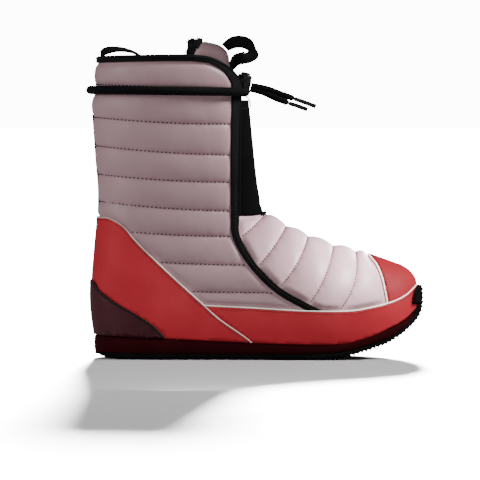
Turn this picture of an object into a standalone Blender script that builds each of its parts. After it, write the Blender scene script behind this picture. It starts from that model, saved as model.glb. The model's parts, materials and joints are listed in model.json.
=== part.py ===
"""Apres ski boot for the right foot: a quilted, padded shaft and vamp on a cupped rubber sole.

The frame is in metres: +X runs to the toe, +Y to the inner side of the foot and +Z up. The origin
is on the floor under the middle of the heel.

Every piece of the upper is cut from one form, the last: a fan of rings that starts as a point at
the toe, swings round the instep and climbs the shaft. Outlines are drawn in the side view.
"""

import math
from collections import namedtuple

import bmesh
import bpy
from mathutils import Vector

# Driving dimensions of the boot
LENGTH = 0.280  # upper, from the back of the heel to the tip of the toe
HEEL_BACK = 0.040  # back of the heel behind the origin
INSTEP_HEIGHT = 0.1225  # top of the vamp, at the foot of the gusset
COLLAR_HEIGHT = 0.257  # top of the collar
BALL_WIDTH = 0.100  # upper across the ball of the foot

# Thicknesses of the sewn layers
WALL = 0.005  # padded wall of the upper
SHAFT_PUFF = 0.0024  # how far a channel of the shaft swells
VAMP_PUFF = 0.0032  # how far a channel of the vamp swells
OVERLAY = 0.0017  # heel wrap, mudguard and toe cap
COUNTER = 0.0028
PIPING = 0.0016
PIPING_WIDTH = 0.0055
GUSSET = 0.0020
BACK_STRIP = 0.0012
BACK_STRIP_WIDTH = 0.010
TONGUE = 0.0052
FUR = 0.0050
CLEARANCE = 0.0003  # between pieces that touch
SKIN = CLEARANCE + OVERLAY  # height over the form of the skin that the outlines are drawn on
SEAM_FADE = 0.006  # width over which padding flattens towards an edge

# Sole
LUG_PITCH = 0.0105
LUG_GROOVE = 0.0032
LUG_DEPTH = 0.0026
INSOLE = 0.0040
INSOLE_MARGIN = 0.0085  # inside the line where upper and sole meet
TOE_BUMPER = 0.0022
BUMPER_HALF_WIDTH = 0.026

# Drawcord, its lock and the two pull loops
CORD_RADIUS = 0.0037
CORD_END_RADIUS = 0.0023
CORD_TIP_RADIUS = 0.0013
LOCK_RADIUS = 0.0062
LOCK_HEIGHT = 0.0170
WEBBING = 0.0016
FRONT_LOOP_WIDTH = 0.0105
BACK_LOOP_WIDTH = 0.0120
KEEPER_WIDTH = 0.0040
KEEPER_WEBBING = 0.0010

# Fineness of the form
AROUND = 20
OUTLINE_STEPS = 4
SNAP = 0.0007  # a corner this close to a cut slides onto it

# One ring of the last. x is a share of LENGTH from the back of the heel. A level is a height:
# 0 is the floor, 1 the instep and 2 the collar. Widths and centre are shares of BALL_WIDTH, and
# the two fullness values say how square the ring is at its front and back ends.
Ring = namedtuple("Ring", ("front_x", "front_level", "back_x", "back_level", "lateral", "medial",
                           "centre", "front_full", "back_full"))
LAST = [
    Ring(0.998, 0.400, 0.998, 0.400, 0.000, 0.000, 0.090, 2.0, 2.0),
    Ring(0.991, 0.531, 0.994, 0.245, 0.125, 0.125, 0.090, 2.0, 2.2),
    Ring(0.977, 0.584, 0.982, 0.098, 0.215, 0.215, 0.086, 2.0, 2.3),
    Ring(0.954, 0.624, 0.957, -0.033, 0.300, 0.295, 0.078, 2.0, 2.4),
    Ring(0.920, 0.654, 0.918, -0.114, 0.375, 0.360, 0.064, 2.0, 2.4),
    Ring(0.861, 0.702, 0.850, -0.147, 0.445, 0.430, 0.044, 2.1, 2.5),
    Ring(0.807, 0.735, 0.786, -0.163, 0.485, 0.460, 0.028, 2.1, 2.5),
    Ring(0.739, 0.776, 0.704, -0.163, 0.505, 0.480, 0.014, 2.1, 2.5),
    Ring(0.664, 0.841, 0.600, -0.163, 0.490, 0.455, 0.004, 2.1, 2.5),
    Ring(0.596, 0.914, 0.464, -0.163, 0.450, 0.395, 0.000, 2.1, 2.5),
    Ring(0.536, 1.000, 0.268, -0.163, 0.420, 0.370, 0.000, 2.1, 2.6),
    Ring(0.527, 1.033, 0.089, -0.147, 0.410, 0.385, 0.000, 2.2, 2.8),
    Ring(0.523, 1.056, 0.042, 0.000, 0.400, 0.385, 0.000, 2.2, 2.8),
    Ring(0.521, 1.078, 0.0205, 0.237, 0.395, 0.385, 0.000, 2.2, 2.7),
    Ring(0.520, 1.100, 0.013, 0.449, 0.395, 0.385, 0.000, 2.2, 2.6),
    Ring(0.518, 1.130, 0.021, 0.735, 0.400, 0.390, 0.000, 2.2, 2.5),
    Ring(0.514, 1.175, 0.031, 0.988, 0.410, 0.405, 0.000, 2.2, 2.4),
    Ring(0.509, 1.257, 0.032, 1.167, 0.425, 0.420, 0.000, 2.3, 2.3),
    Ring(0.504, 1.353, 0.026, 1.323, 0.440, 0.440, 0.000, 2.3, 2.3),
    Ring(0.496, 1.524, 0.019, 1.524, 0.460, 0.460, 0.000, 2.3, 2.3),
    Ring(0.487, 1.703, 0.015, 1.688, 0.478, 0.478, 0.000, 2.3, 2.3),
    Ring(0.482, 1.770, 0.020, 1.785, 0.474, 0.474, 0.000, 2.3, 2.3),
    Ring(0.475, 1.851, 0.023, 1.851, 0.480, 0.480, 0.000, 2.3, 2.3),
    Ring(0.466, 2.000, 0.030, 2.000, 0.485, 0.485, 0.000, 2.3, 2.3),
    Ring(0.454, 2.208, 0.036, 2.208, 0.480, 0.480, 0.000, 2.3, 2.3),
]
SHAFT_FOOT = 16  # ring of the ankle, where the shaft starts
CORD_RING = 21  # ring that the drawcord pulls in

# Outlines in the side view, as (x, level) from the heel forwards or from the top down
FEATHER = [(0.000, 0.172), (0.040, 0.162), (0.232, 0.143), (0.506, 0.115), (0.643, 0.106), (0.762, 0.108),
           (0.820, 0.132), (0.868, 0.168), (0.912, 0.215), (0.954, 0.262), (0.984, 0.318), (0.998, 0.350),
           (1.006, 0.385), (1.0085, 0.425)]
SOLE_SPLIT = [(0.000, 0.046), (0.277, 0.043), (0.506, 0.043), (0.700, 0.047), (0.775, 0.060), (0.825, 0.086),
              (0.868, 0.115), (0.911, 0.152), (0.954, 0.215), (0.987, 0.288), (1.003, 0.325), (1.0105, 0.385)]
GROUND_BACK = [(0.010, 0.046), (0.024, 0.040), (0.040, 0.022), (0.066, 0.008), (0.100, 0.000)]
GROUND_TOE = [(0.700, 0.000), (0.740, 0.007), (0.783, 0.029), (0.826, 0.056), (0.868, 0.086), (0.911, 0.125),
              (0.954, 0.183), (0.984, 0.242), (1.003, 0.292), (1.013, 0.345), (1.017, 0.400), (1.017, 0.455),
              (1.014, 0.505)]
HEEL_WRAP_EDGE = [(-0.200, 0.978), (0.030, 0.978), (0.065, 0.973), (0.109, 0.916), (0.143, 0.823),
                  (0.207, 0.677), (0.271, 0.540), (0.349, 0.379), (0.400, 0.276), (0.477, 0.154),
                  (0.500, 0.105), (0.530, 0.000)]
COUNTER_EDGE = [(-0.200, 0.640), (0.002, 0.540), (0.028, 0.481), (0.079, 0.393), (0.135, 0.320), (0.186, 0.251),
                (0.212, 0.198), (0.233, 0.144), (0.260, 0.000)]
MUDGUARD_EDGE = [(0.250, 0.400), (0.349, 0.375), (0.490, 0.359), (0.643, 0.340), (0.784, 0.337), (0.848, 0.357),
                 (0.906, 0.386), (0.955, 0.430), (0.989, 0.489), (1.030, 0.580)]
TOE_CAP_EDGE = [(0.815, 0.900), (0.852, 0.718), (0.873, 0.659), (0.889, 0.572), (0.899, 0.474), (0.905, 0.386),
                (0.905, 0.300)]
PIPING_LINE = [(-0.200, 1.978), (0.027, 1.978), (0.277, 1.984), (0.343, 1.978), (0.376, 1.966), (0.418, 1.918),
               (0.442, 1.850), (0.448, 1.798), (0.445, 1.400), (0.445, 0.992), (0.446, 0.874), (0.463, 0.776),
               (0.494, 0.665), (0.539, 0.550), (0.585, 0.463), (0.640, 0.393), (0.690, 0.335), (0.760, 0.250)]
GUSSET_FOOT = [(0.458, 0.988), (0.500, 0.990), (0.536, 1.003), (0.650, 1.060)]
GUSSET_TOP = 1.713
BACK_STRIP_ENDS = (1.010, 1.630)
FAR = 0.5  # beyond the boot on any side, in metres

# Seams of the channels, as two points of the side view, with the swelling of the channel that
# follows each as a share of SHAFT_PUFF or VAMP_PUFF. The shaft runs from its foot to its collar.
Seam = namedtuple("Seam", "first_x first_level second_x second_level swell")
SHAFT_SEAMS = [
    Seam(0.018, 0.310, 0.445, 0.270, 0.9),
    Seam(0.018, 0.512, 0.445, 0.465, 0.9),
    Seam(0.018, 0.707, 0.445, 0.653, 1.0),
    Seam(0.018, 0.906, 0.445, 0.849, 1.0),
    Seam(0.018, 1.086, 0.445, 1.022, 1.0),
    Seam(0.018, 1.257, 0.445, 1.204, 1.0),
    Seam(0.018, 1.435, 0.445, 1.375, 1.0),
    Seam(0.018, 1.613, 0.445, 1.569, 1.0),
    Seam(0.018, 1.755, 0.445, 1.722, 0.0),
    Seam(0.018, 1.820, 0.445, 1.785, 1.1),
    Seam(0.018, 1.965, 0.445, 1.965, 0.0),
]
VAMP_SEAMS = [
    Seam(0.458, 0.985, 0.545, 1.010, 0.5),
    Seam(0.463, 0.846, 0.536, 0.999, 1.0),
    Seam(0.524, 0.665, 0.596, 0.895, 1.0),
    Seam(0.588, 0.519, 0.664, 0.825, 1.0),
    Seam(0.673, 0.400, 0.743, 0.767, 1.0),
    Seam(0.771, 0.376, 0.813, 0.708, 0.9),
    Seam(0.903, 0.400, 0.851, 0.716, 0.0),
]
SEAM_FLAT = 0.04  # share of a channel beside each seam that is drawn in with it
SCORES = (0.0, 0.27, 0.73)  # lines of each channel that carry its round

# Width of the sole beyond the form, along the boot, in metres
Margin = namedtuple("Margin", "x width")
SOLE_MARGIN = [Margin(0.00, 0.0018), Margin(0.20, 0.0026), Margin(0.40, 0.0022), Margin(0.60, 0.0026),
               Margin(0.80, 0.0032), Margin(0.93, 0.0046), Margin(1.00, 0.0058)]
HEEL_PAD = (0.100, 0.235)  # stretches of plain tread, in shares of LENGTH
FOREFOOT_PAD = (0.555, 0.685)

# The tongue leans back from the form towards its top: level and depth below the form
Lean = namedtuple("Lean", "level depth")
TONGUE_LEAN = [Lean(1.20, 0.0060), Lean(1.60, 0.0064), Lean(1.74, 0.0102), Lean(1.90, 0.0108),
               Lean(2.01, 0.0112), Lean(2.04, 0.0122), Lean(2.067, 0.0150), Lean(2.082, 0.0174),
               Lean(2.097, 0.0210), Lean(2.108, 0.0260), Lean(2.125, 0.0330)]
TONGUE_TOP = [(0.270, 1.000), (0.318, 1.950), (0.330, 2.030), (0.346, 2.085), (0.362, 2.106), (0.385, 2.104),
              (0.430, 2.098), (0.600, 2.080)]
FUR_TOP = [(0.240, 1.000), (0.292, 1.950), (0.300, 2.020), (0.318, 2.100), (0.338, 2.140), (0.352, 2.126),
           (0.376, 2.116), (0.600, 2.080)]
TONGUE_HALF_ANGLE = math.radians(72)
TONGUE_RINGS = 9
TOP_CROWDING = 1.7  # crowds the rows of the tongue towards its rolled top
TUFT = 0.0016
TUFT_PITCH = 0.0060

# Cords and webbing, as in the other tables, with y as a share of BALL_WIDTH. A bend of a webbing also
# has the direction of its width.
CORD_LEVEL = 1.780
LOCK_X = 0.4714
CORD_GATE = 0.190  # where the cord passes the edge of the throat
LOCK_TILT = math.radians(12)
CORD_ANGLES = (28, 38, 50, 66, 84, 102, 122, 142, 161, 180)  # degrees round the shaft
PIPING_ANGLE = 60  # the cord rides over the piping in front of this
CORD_ENDS = {
    "upper": [(0.4943, -0.020, 1.8126), (0.5429, -0.030, 1.7918), (0.5857, -0.045, 1.7584),
              (0.6257, -0.060, 1.7294), (0.6579, -0.068, 1.7056), (0.6904, -0.075, 1.6803)],
    "lower": [(0.4914, 0.035, 1.7918), (0.5286, 0.040, 1.7710), (0.5679, 0.030, 1.7338),
              (0.6089, 0.020, 1.7019), (0.6375, 0.015, 1.6818), (0.6650, 0.010, 1.6610)],
}
Bend = namedtuple("Bend", "x y level across")
ACROSS = (0, 1, 0)
FRONT_LOOP = [
    Bend(0.4164, 0.040, 2.0610, (-0.65, 0.0, 0.75)),
    Bend(0.4296, 0.045, 2.0803, (-0.40, 0.0, 0.90)),
    Bend(0.4539, 0.045, 2.0900, (-0.05, 0.0, 1.00)),
    Bend(0.4814, 0.040, 2.0848, (0.25, 0.0, 0.97)),
    Bend(0.4982, 0.015, 2.0550, (0.85, 0.0, 0.50)),
    Bend(0.4996, -0.020, 2.0238, (0.90, 0.0, -0.45)),
    Bend(0.4843, -0.045, 2.0030, (0.40, 0.0, -0.90)),
    Bend(0.4600, -0.050, 1.9948, (0.10, 0.2, -0.97)),
    Bend(0.4432, -0.035, 1.9695, (0.40, 0.7, -0.50)),
    Bend(0.4361, 0.000, 1.9257, (0.10, 1.0, 0.00)),
]
BACK_LOOP = [
    Bend(0.0371, 0.000, 2.0074, ACROSS),
    Bend(0.0429, 0.000, 2.0268, ACROSS),
    Bend(0.0571, 0.000, 2.0431, (0.0, 1.0, 0.10)),
    Bend(0.0839, 0.000, 2.0491, (0.0, 1.0, 0.12)),
    Bend(0.1161, 0.000, 2.0401, (0.0, 1.0, 0.06)),
    Bend(0.1446, 0.000, 2.0178, ACROSS),
    Bend(0.1571, 0.000, 1.9911, ACROSS),
    Bend(0.1357, 0.000, 1.9665, ACROSS),
    Bend(0.0893, 0.000, 1.9480, ACROSS),
    Bend(0.0504, 0.000, 1.9033, ACROSS),
]
KEEPER = [
    Bend(0.4921, 0.000, 1.6758, ACROSS),
    Bend(0.4893, 0.000, 1.7204, ACROSS),
    Bend(0.4768, 0.000, 1.7443, ACROSS),
]


def height(level):
    """Height over the floor of a level of the tables."""
    if level <= 1:
        return level * INSTEP_HEIGHT
    return INSTEP_HEIGHT + (level - 1) * (COLLAR_HEIGHT - INSTEP_HEIGHT)


def side_point(x, level):
    """Point of the side view (x, z) in metres from a pair of the tables."""
    return Vector((x * LENGTH - HEEL_BACK, height(level)))


def spline(values, t):
    """Value of a smooth curve through evenly spaced values, at position t."""
    last = len(values) - 1
    i = min(max(int(t), 0), last - 1)
    u = t - i
    a, b, c, d = (values[min(max(j, 0), last)] for j in (i - 1, i, i + 1, i + 2))
    bend = (2 * a - 5 * b + 4 * c - d) * u + (3 * b - a - 3 * c + d) * u * u
    return b + 0.5 * u * ((c - a) + bend)


def smooth_curve(pairs, steps=OUTLINE_STEPS):
    """Side-view curve through the pairs of a table."""
    points = [side_point(*pair) for pair in pairs]
    spans = len(points) - 1
    return [spline(points, i / steps) for i in range(spans * steps + 1)]


def lookup(table, x):
    """Value of a two-column table at x, straight between its rows."""
    rows = [tuple(row) for row in table]
    if x <= rows[0][0]:
        return rows[0][1]
    for (x0, y0), (x1, y1) in zip(rows, rows[1:]):
        if x <= x1:
            return y0 + (y1 - y0) * (x - x0) / (x1 - x0)
    return rows[-1][1]


def offset_curve(points, distance):
    """Side-view curve moved to its left by the distance."""
    moved = []
    for i, point in enumerate(points):
        run = (points[min(i + 1, len(points) - 1)] - points[max(i - 1, 0)]).normalized()
        moved.append(point + Vector((-run.y, run.x)) * distance)
    return moved


def region(*curves):
    """Field of a closed side-view outline: distance to its edge, above 0 inside."""
    outline = [point for curve in curves for point in curve]
    edges = list(zip(outline, outline[1:] + outline[:1]))
    edges = [(a, b) for a, b in edges if (b - a).length > 1e-7]

    def field(place):
        x, z = place.x, place.z
        best = FAR * FAR * 16
        inside = False
        for a, b in edges:
            run_x, run_z = b.x - a.x, b.y - a.y
            t = ((x - a.x) * run_x + (z - a.y) * run_z) / (run_x * run_x + run_z * run_z)
            t = min(max(t, 0.0), 1.0)
            off_x, off_z = x - a.x - t * run_x, z - a.y - t * run_z
            best = min(best, off_x * off_x + off_z * off_z)
            if (a.y > z) != (b.y > z) and x < a.x + (z - a.y) / run_z * run_x:
                inside = not inside
        return math.sqrt(best) if inside else -math.sqrt(best)

    return field


def beyond(field, margin):
    """Field that is above 0 more than a margin inside another."""
    return lambda place: field(place) - margin


def outside(field, margin):
    """Field that is above 0 more than a margin outside another."""
    return lambda place: -field(place) - margin


def regions():
    """Fields of the outlines that the pieces share."""
    floor = [Vector((FAR, -FAR)), Vector((-FAR, -FAR))]
    sky = [Vector((FAR, FAR)), Vector((-FAR, FAR))]
    feather = smooth_curve(FEATHER)
    toe = [Vector((feather[-1].x, FAR))]
    piping = smooth_curve(PIPING_LINE)
    gusset_foot = height(GUSSET_FOOT[0][1])
    throat_end = next(i for i, point in enumerate(piping) if point.x > 0 and point.y < gusset_foot)
    throat = offset_curve(piping[:throat_end], PIPING_WIDTH / 2)
    cap = smooth_curve(TOE_CAP_EDGE)
    mudguard = smooth_curve(MUDGUARD_EDGE)
    return {
        "above_sole": region([Vector((-FAR, feather[0].y))], feather, toe, [sky[1]]),
        "heel_wrap": region(smooth_curve(HEEL_WRAP_EDGE), floor[1:]),
        "counter": region(smooth_curve(COUNTER_EDGE), floor[1:]),
        "mudguard": region(mudguard, [Vector((FAR, mudguard[-1].y))], floor[:1],
                           [Vector((mudguard[0].x, -FAR))]),
        "toe_cap": region(cap, [Vector((FAR, cap[-1].y))], [Vector((FAR, cap[0].y))]),
        "quarter": region(piping, floor),
        "throat": region(throat, smooth_curve(GUSSET_FOOT), [Vector((FAR, height(GUSSET_FOOT[-1][1])))], sky),
    }


def ring_point(t, theta, depth=0.0):
    """Point of the last on ring t, at an angle from its front round the outer side."""
    columns = [spline([getattr(ring, name) for ring in LAST], t) for name in Ring._fields]
    front_x, front_level, back_x, back_level, lateral, medial, centre, front_full, back_full = columns
    front = side_point(front_x, front_level)
    back = side_point(back_x, back_level)
    c, s = math.cos(theta), math.sin(theta)
    full = front_full if c > 0 else back_full
    along = math.copysign(abs(c) ** (2 / full), c)
    across = math.copysign(abs(s) ** (2 / full), s) * (lateral if s > 0 else medial)
    place = (front + back) / 2 + (front - back) / 2 * along
    return Vector((place.x, (centre - across) * BALL_WIDTH, place.y))


def last_mesh():
    """The whole form as a triangulated grid, open above the collar."""
    bm = bmesh.new()
    pole = bm.verts.new(ring_point(0, 0))
    angles = [2 * math.pi * j / AROUND for j in range(AROUND)]
    rings = [[bm.verts.new(ring_point(t, angle)) for angle in angles] for t in range(1, len(LAST))]
    for j in range(AROUND):
        k = (j + 1) % AROUND
        bm.faces.new((pole, rings[0][j], rings[0][k]))
        for lower, upper in zip(rings, rings[1:]):
            bm.faces.new((lower[j], upper[j], upper[k], lower[k]))
    bmesh.ops.recalc_face_normals(bm, faces=bm.faces)
    tip = max(bm.faces, key=lambda face: face.calc_center_median().x)
    if tip.normal.x < 0:
        bmesh.ops.reverse_faces(bm, faces=bm.faces)
    bmesh.ops.triangulate(bm, faces=bm.faces, quad_method="SHORT_EDGE")
    keep_outwards(bm)
    return bm


def keep_outwards(bm):
    """Stores the outward direction of each corner, which later cuts share out along their edges."""
    bm.normal_update()
    outwards = bm.verts.layers.float_vector.new("outwards")
    for vert in bm.verts:
        vert[outwards] = vert.normal


def shift(bm, distance):
    """Moves a surface along its stored outward directions."""
    outwards = bm.verts.layers.float_vector["outwards"]
    for vert in bm.verts:
        vert.co += vert[outwards] * distance


def crossing(edge, value, field):
    """Share of an edge, from its lower end, at which a field passes 0."""
    low, high = sorted(edge.verts, key=lambda vert: value[vert])
    near, far = 0.0, 1.0
    for _ in range(14):
        middle = (near + far) / 2
        if field(low.co.lerp(high.co, middle)) < 0:
            near = middle
        else:
            far = middle
    return low, high, (near + far) / 2


def score(bm, field):
    """Cuts the edges and faces of a surface along field = 0, sliding near corners onto the cut."""
    outwards = bm.verts.layers.float_vector["outwards"]
    value = {vert: field(vert.co) for vert in bm.verts}
    slides = {}
    for edge in bm.edges:
        if value[edge.verts[0]] * value[edge.verts[1]] >= 0:
            continue
        low, high, share = crossing(edge, value, field)
        for vert, other, part in ((low, high, share), (high, low, 1 - share)):
            away = part * edge.calc_length()
            free = edge.is_boundary or not vert.is_boundary
            if away < SNAP and free and away < slides.get(vert, (SNAP,))[0]:
                slides[vert] = (away, vert.co.lerp(other.co, part), vert[outwards].lerp(other[outwards], part))
    for vert, (_, place, direction) in slides.items():
        vert.co = place
        vert[outwards] = direction
        value[vert] = 0.0
    for edge in list(bm.edges):
        if value[edge.verts[0]] * value[edge.verts[1]] >= 0:
            continue
        low, high, share = crossing(edge, value, field)
        place = low.co.lerp(high.co, share)
        direction = low[outwards].lerp(high[outwards], share)
        cut = bmesh.utils.edge_split(edge, low, share)[1]
        cut.co = place
        cut[outwards] = direction
        value[cut] = 0.0
    for face in list(bm.faces):
        zeros = [loop.vert for loop in face.loops if value[loop.vert] == 0]
        signs = {value[loop.vert] > 0 for loop in face.loops if value[loop.vert] != 0}
        if len(zeros) == 2 and len(signs) == 2:
            bmesh.utils.face_split(face, zeros[0], zeros[1])
    return value


def trim(bm, field):
    """Cuts a surface along field = 0 and keeps the part where the field is above 0."""
    value = score(bm, field)
    lost = [face for face in bm.faces if sum(value[loop.vert] for loop in face.loops) <= 0]
    bmesh.ops.delete(bm, geom=lost, context="FACES")
    loose = [vert for vert in bm.verts if not vert.link_faces]
    bmesh.ops.delete(bm, geom=loose, context="VERTS")


def material(name, colour, roughness):
    """Principled material of one colour."""
    made = bpy.data.materials.new(name)
    made.use_nodes = True
    shader = made.node_tree.nodes["Principled BSDF"]
    shader.inputs["Base Color"].default_value = (*colour, 1.0)
    shader.inputs["Roughness"].default_value = roughness
    shader.inputs["Metallic"].default_value = 0.0
    return made


def add_object(name, mesh, finish, collection):
    """Names a mesh as a piece of the boot and dresses it."""
    piece = bpy.data.objects.new(name, mesh)
    collection.objects.link(piece)
    mesh.materials.append(finish)
    mesh.shade_smooth()
    mesh.set_sharp_from_angle(angle=math.radians(40))
    return piece


def add_surface(name, bm, finish, collection, thickness, side):
    """Makes a piece from an open surface, thickened outwards (side 1) or inwards (side -1)."""
    bmesh.ops.dissolve_degenerate(bm, dist=1e-6, edges=bm.edges)
    bmesh.ops.triangulate(bm, faces=bm.faces)
    mesh = bpy.data.meshes.new(name)
    bm.to_mesh(mesh)
    bm.free()
    piece = add_object(name, mesh, finish, collection)
    solidify = piece.modifiers.new("thickness", "SOLIDIFY")
    solidify.thickness = thickness
    solidify.offset = side
    solidify.use_quality_normals = True
    return piece


def seam_line(seam):
    """Unit normal and constant of a seam's line in the side view, above 0 past the seam."""
    first = side_point(seam.first_x, seam.first_level)
    second = side_point(seam.second_x, seam.second_level)
    run = (second - first).normalized()
    return Vector((-run.y, run.x)), Vector((-run.y, run.x)).dot(first)


def channels(seams):
    """Each channel between two seams, with its swelling."""
    lines = [seam_line(seam) for seam in seams]
    return [(low, high, seam.swell) for low, high, seam in zip(lines, lines[1:], seams)]


def swelling(place, seams, direction):
    """Swelling of the padding at a place: none on a seam and one in the middle of a channel."""
    spot = Vector((place.x, place.z))
    for low, high, swell in channels(seams):
        past_low = (low[0].dot(spot) - low[1]) * direction
        past_high = (high[0].dot(spot) - high[1]) * direction
        if past_low >= 0 and past_high < 0:
            share = past_low / (past_low - past_high)
            share = min(max((share - SEAM_FLAT) / (1 - 2 * SEAM_FLAT), 0.0), 1.0)
            return swell * (4 * share * (1 - share)) ** 0.6
    return 0.0


def score_plane(bm, faces, centre, normal):
    """Cuts some faces of a surface along a plane."""
    edges = {edge for face in faces for edge in face.edges}
    verts = {vert for face in faces for vert in face.verts}
    bmesh.ops.bisect_plane(bm, geom=[*faces, *edges, *verts], dist=SNAP, plane_co=centre, plane_no=normal)


def score_channels(bm, seams, zone):
    """Cuts a surface along each seam and along the lines that carry a channel's round."""
    padded = bm.faces.layers.int.new()
    for face in bm.faces:
        face[padded] = zone(face.calc_center_median()) > -SEAM_FADE / 2
    bmesh.ops.join_triangles(bm, faces=[face for face in bm.faces if face[padded]],
                             angle_face_threshold=math.radians(30), angle_shape_threshold=math.radians(60))
    for low, high, swell in channels(seams):
        for share in SCORES if swell else (0.0,):
            normal = low[0] * (1 - share) + high[0] * share
            constant = low[1] * (1 - share) + high[1] * share
            centre = normal * constant / normal.dot(normal)
            faces = [face for face in bm.faces if face[padded]]
            score_plane(bm, faces, (centre.x, 0, centre.y), (normal.x, 0, normal.y))


def fade(amount):
    """Smooth step from 0 at an edge to 1 at SEAM_FADE inside it."""
    share = min(max(amount / SEAM_FADE, 0.0), 1.0)
    return share * share * (3 - 2 * share)


def quilt_zones(areas):
    """Fields of the padded parts of the shaft and of the vamp."""
    def uncovered(place):
        covers = (areas[name](place) for name in ("heel_wrap", "mudguard", "toe_cap"))
        return -max(covers) - CLEARANCE

    def shaft(place):
        strip = abs(place.y) - BACK_STRIP_WIDTH / 2 - 2 * CLEARANCE if place.x < 0 else FAR
        return min(uncovered(place), areas["quarter"](place) - PIPING_WIDTH / 2 - CLEARANCE, strip)

    def vamp(place):
        return min(uncovered(place), -areas["quarter"](place) - PIPING_WIDTH / 2 - CLEARANCE,
                   -areas["throat"](place))

    return shaft, vamp


def build_upper(areas, finish, collection):
    """Hollow padded upper: open at collar and throat, and underneath where the sole closes it."""
    bm = last_mesh()
    trim(bm, beyond(areas["above_sole"], CLEARANCE))
    shift(bm, SKIN)
    trim(bm, outside(areas["throat"], 0))
    shaft, vamp = quilt_zones(areas)
    for name in ("heel_wrap", "mudguard", "toe_cap"):
        score(bm, beyond(areas[name], -CLEARANCE))
    for edge in (-1, 1):
        score(bm, beyond(areas["quarter"], edge * (PIPING_WIDTH / 2 + CLEARANCE)))
    for side in (-1, 1):
        back = [face for face in bm.faces if face.calc_center_median().x < -HEEL_BACK / 2]
        score_plane(bm, back, (0, side * (BACK_STRIP_WIDTH / 2 + CLEARANCE), 0), (0, side, 0))
    for seams, zone in ((SHAFT_SEAMS, shaft), (VAMP_SEAMS, vamp)):
        score_channels(bm, seams, zone)
    outwards = bm.verts.layers.float_vector["outwards"]
    for vert in bm.verts:
        puff = swelling(vert.co, SHAFT_SEAMS, 1) * fade(shaft(vert.co)) * SHAFT_PUFF
        puff += swelling(vert.co, VAMP_SEAMS, -1) * fade(vamp(vert.co)) * VAMP_PUFF
        vert.co += vert[outwards] * (puff - SKIN)
    return add_surface("upper", bm, finish, collection, WALL, -1)


def build_overlay(name, areas, fields, finish, collection, thickness, side=1, lift=CLEARANCE):
    """Layer cut from the form along the given outlines, over or under its surface."""
    face = lift + max(side, 0) * thickness
    bm = last_mesh()
    shift(bm, SKIN)
    for field in fields:
        trim(bm, field)
    shift(bm, face - SKIN)
    trim(bm, beyond(areas["above_sole"], CLEARANCE))
    shift(bm, lift - face)
    return add_surface(name, bm, finish, collection, thickness, side)


def build_overlays(areas, colours, collection):
    """Heel wrap, counter, mudguard, toe cap, piping, back strip and gusset."""
    gap = CLEARANCE / 2
    half = PIPING_WIDTH / 2
    strip_low, strip_high = (height(level) for level in BACK_STRIP_ENDS)
    gusset_top = height(GUSSET_TOP)
    build_overlay("heel_wrap", areas, [beyond(areas["heel_wrap"], gap), outside(areas["counter"], gap)],
                  colours["red"], collection, OVERLAY)
    build_overlay("heel_counter", areas, [beyond(areas["counter"], gap)],
                  colours["maroon"], collection, COUNTER)
    build_overlay("mudguard", areas, [beyond(areas["mudguard"], gap), outside(areas["heel_wrap"], gap)],
                  colours["red"], collection, OVERLAY)
    build_overlay("toe_cap", areas, [outside(areas["mudguard"], gap), beyond(areas["toe_cap"], gap)],
                  colours["red"], collection, OVERLAY)
    build_overlay("collar_piping", areas, [beyond(areas["quarter"], -half), outside(areas["quarter"], -half),
                                           outside(areas["mudguard"], gap), outside(areas["heel_wrap"], gap)],
                  colours["black"], collection, PIPING)
    build_overlay("back_strip", areas, [lambda place: -place.x - HEEL_BACK / 4,
                                        lambda place: BACK_STRIP_WIDTH / 2 - place.y,
                                        lambda place: BACK_STRIP_WIDTH / 2 + place.y,
                                        lambda place: place.z - strip_low,
                                        lambda place: strip_high - place.z],
                  colours["black"], collection, BACK_STRIP)
    build_overlay("gusset", areas, [beyond(areas["throat"], CLEARANCE), lambda place: gusset_top - place.z],
                  colours["elastic"], collection, GUSSET, side=-1, lift=0)


def sole_edge(areas):
    """Line where upper and sole meet, as plan points in order with their outward directions."""
    bm = last_mesh()
    trim(bm, areas["above_sole"])
    edges = [edge for edge in bm.edges if edge.is_boundary and max(v.co.z for v in edge.verts) < INSTEP_HEIGHT]
    start = edges[0].verts[0]
    loop, here, came = [start], start, None
    while True:
        came = next(edge for edge in here.link_edges if edge in edges and edge is not came)
        here = came.other_vert(here)
        if here is start:
            break
        loop.append(here)
    places = [Vector((vert.co.x, vert.co.y)) for vert in loop]
    bm.free()
    turn = sum(a.cross(b) for a, b in zip(places, places[1:] + places[:1]))
    if turn < 0:
        places.reverse()
    count = len(places)
    runs = [(places[(i + 1) % count] - places[i - 1]).normalized() for i in range(count)]
    return [(place, Vector((run.y, -run.x))) for place, run in zip(places, runs)]


def prism(outline, axis, low, high):
    """Closed solid of a flat outline, swept along an axis between two planes."""
    bm = bmesh.new()
    place = {"X": lambda a, b: (low, a, b), "Y": lambda a, b: (a, low, b), "Z": lambda a, b: (a, b, low)}[axis]
    corners = [bm.verts.new(place(a, b)) for a, b in outline]
    rise = Vector([high - low if name == axis else 0 for name in "XYZ"])
    made = bmesh.ops.extrude_face_region(bm, geom=[bm.faces.new(corners)], use_keep_orig=True)
    far_end = [item for item in made["geom"] if isinstance(item, bmesh.types.BMVert)]
    bmesh.ops.translate(bm, verts=far_end, vec=rise)
    bmesh.ops.recalc_face_normals(bm, faces=bm.faces)
    return bm


def cut_piece(name, bm, cutter_bm, finish, collection, cutters):
    """Piece that two closed solids have in common."""
    meshes = []
    for label, solid in ((name, bm), (name + "_cutter", cutter_bm)):
        mesh = bpy.data.meshes.new(label)
        solid.to_mesh(mesh)
        solid.free()
        meshes.append(mesh)
    piece = add_object(name, meshes[0], finish, collection)
    add_cut(piece, meshes[1], cutters, "INTERSECT")
    return piece


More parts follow.
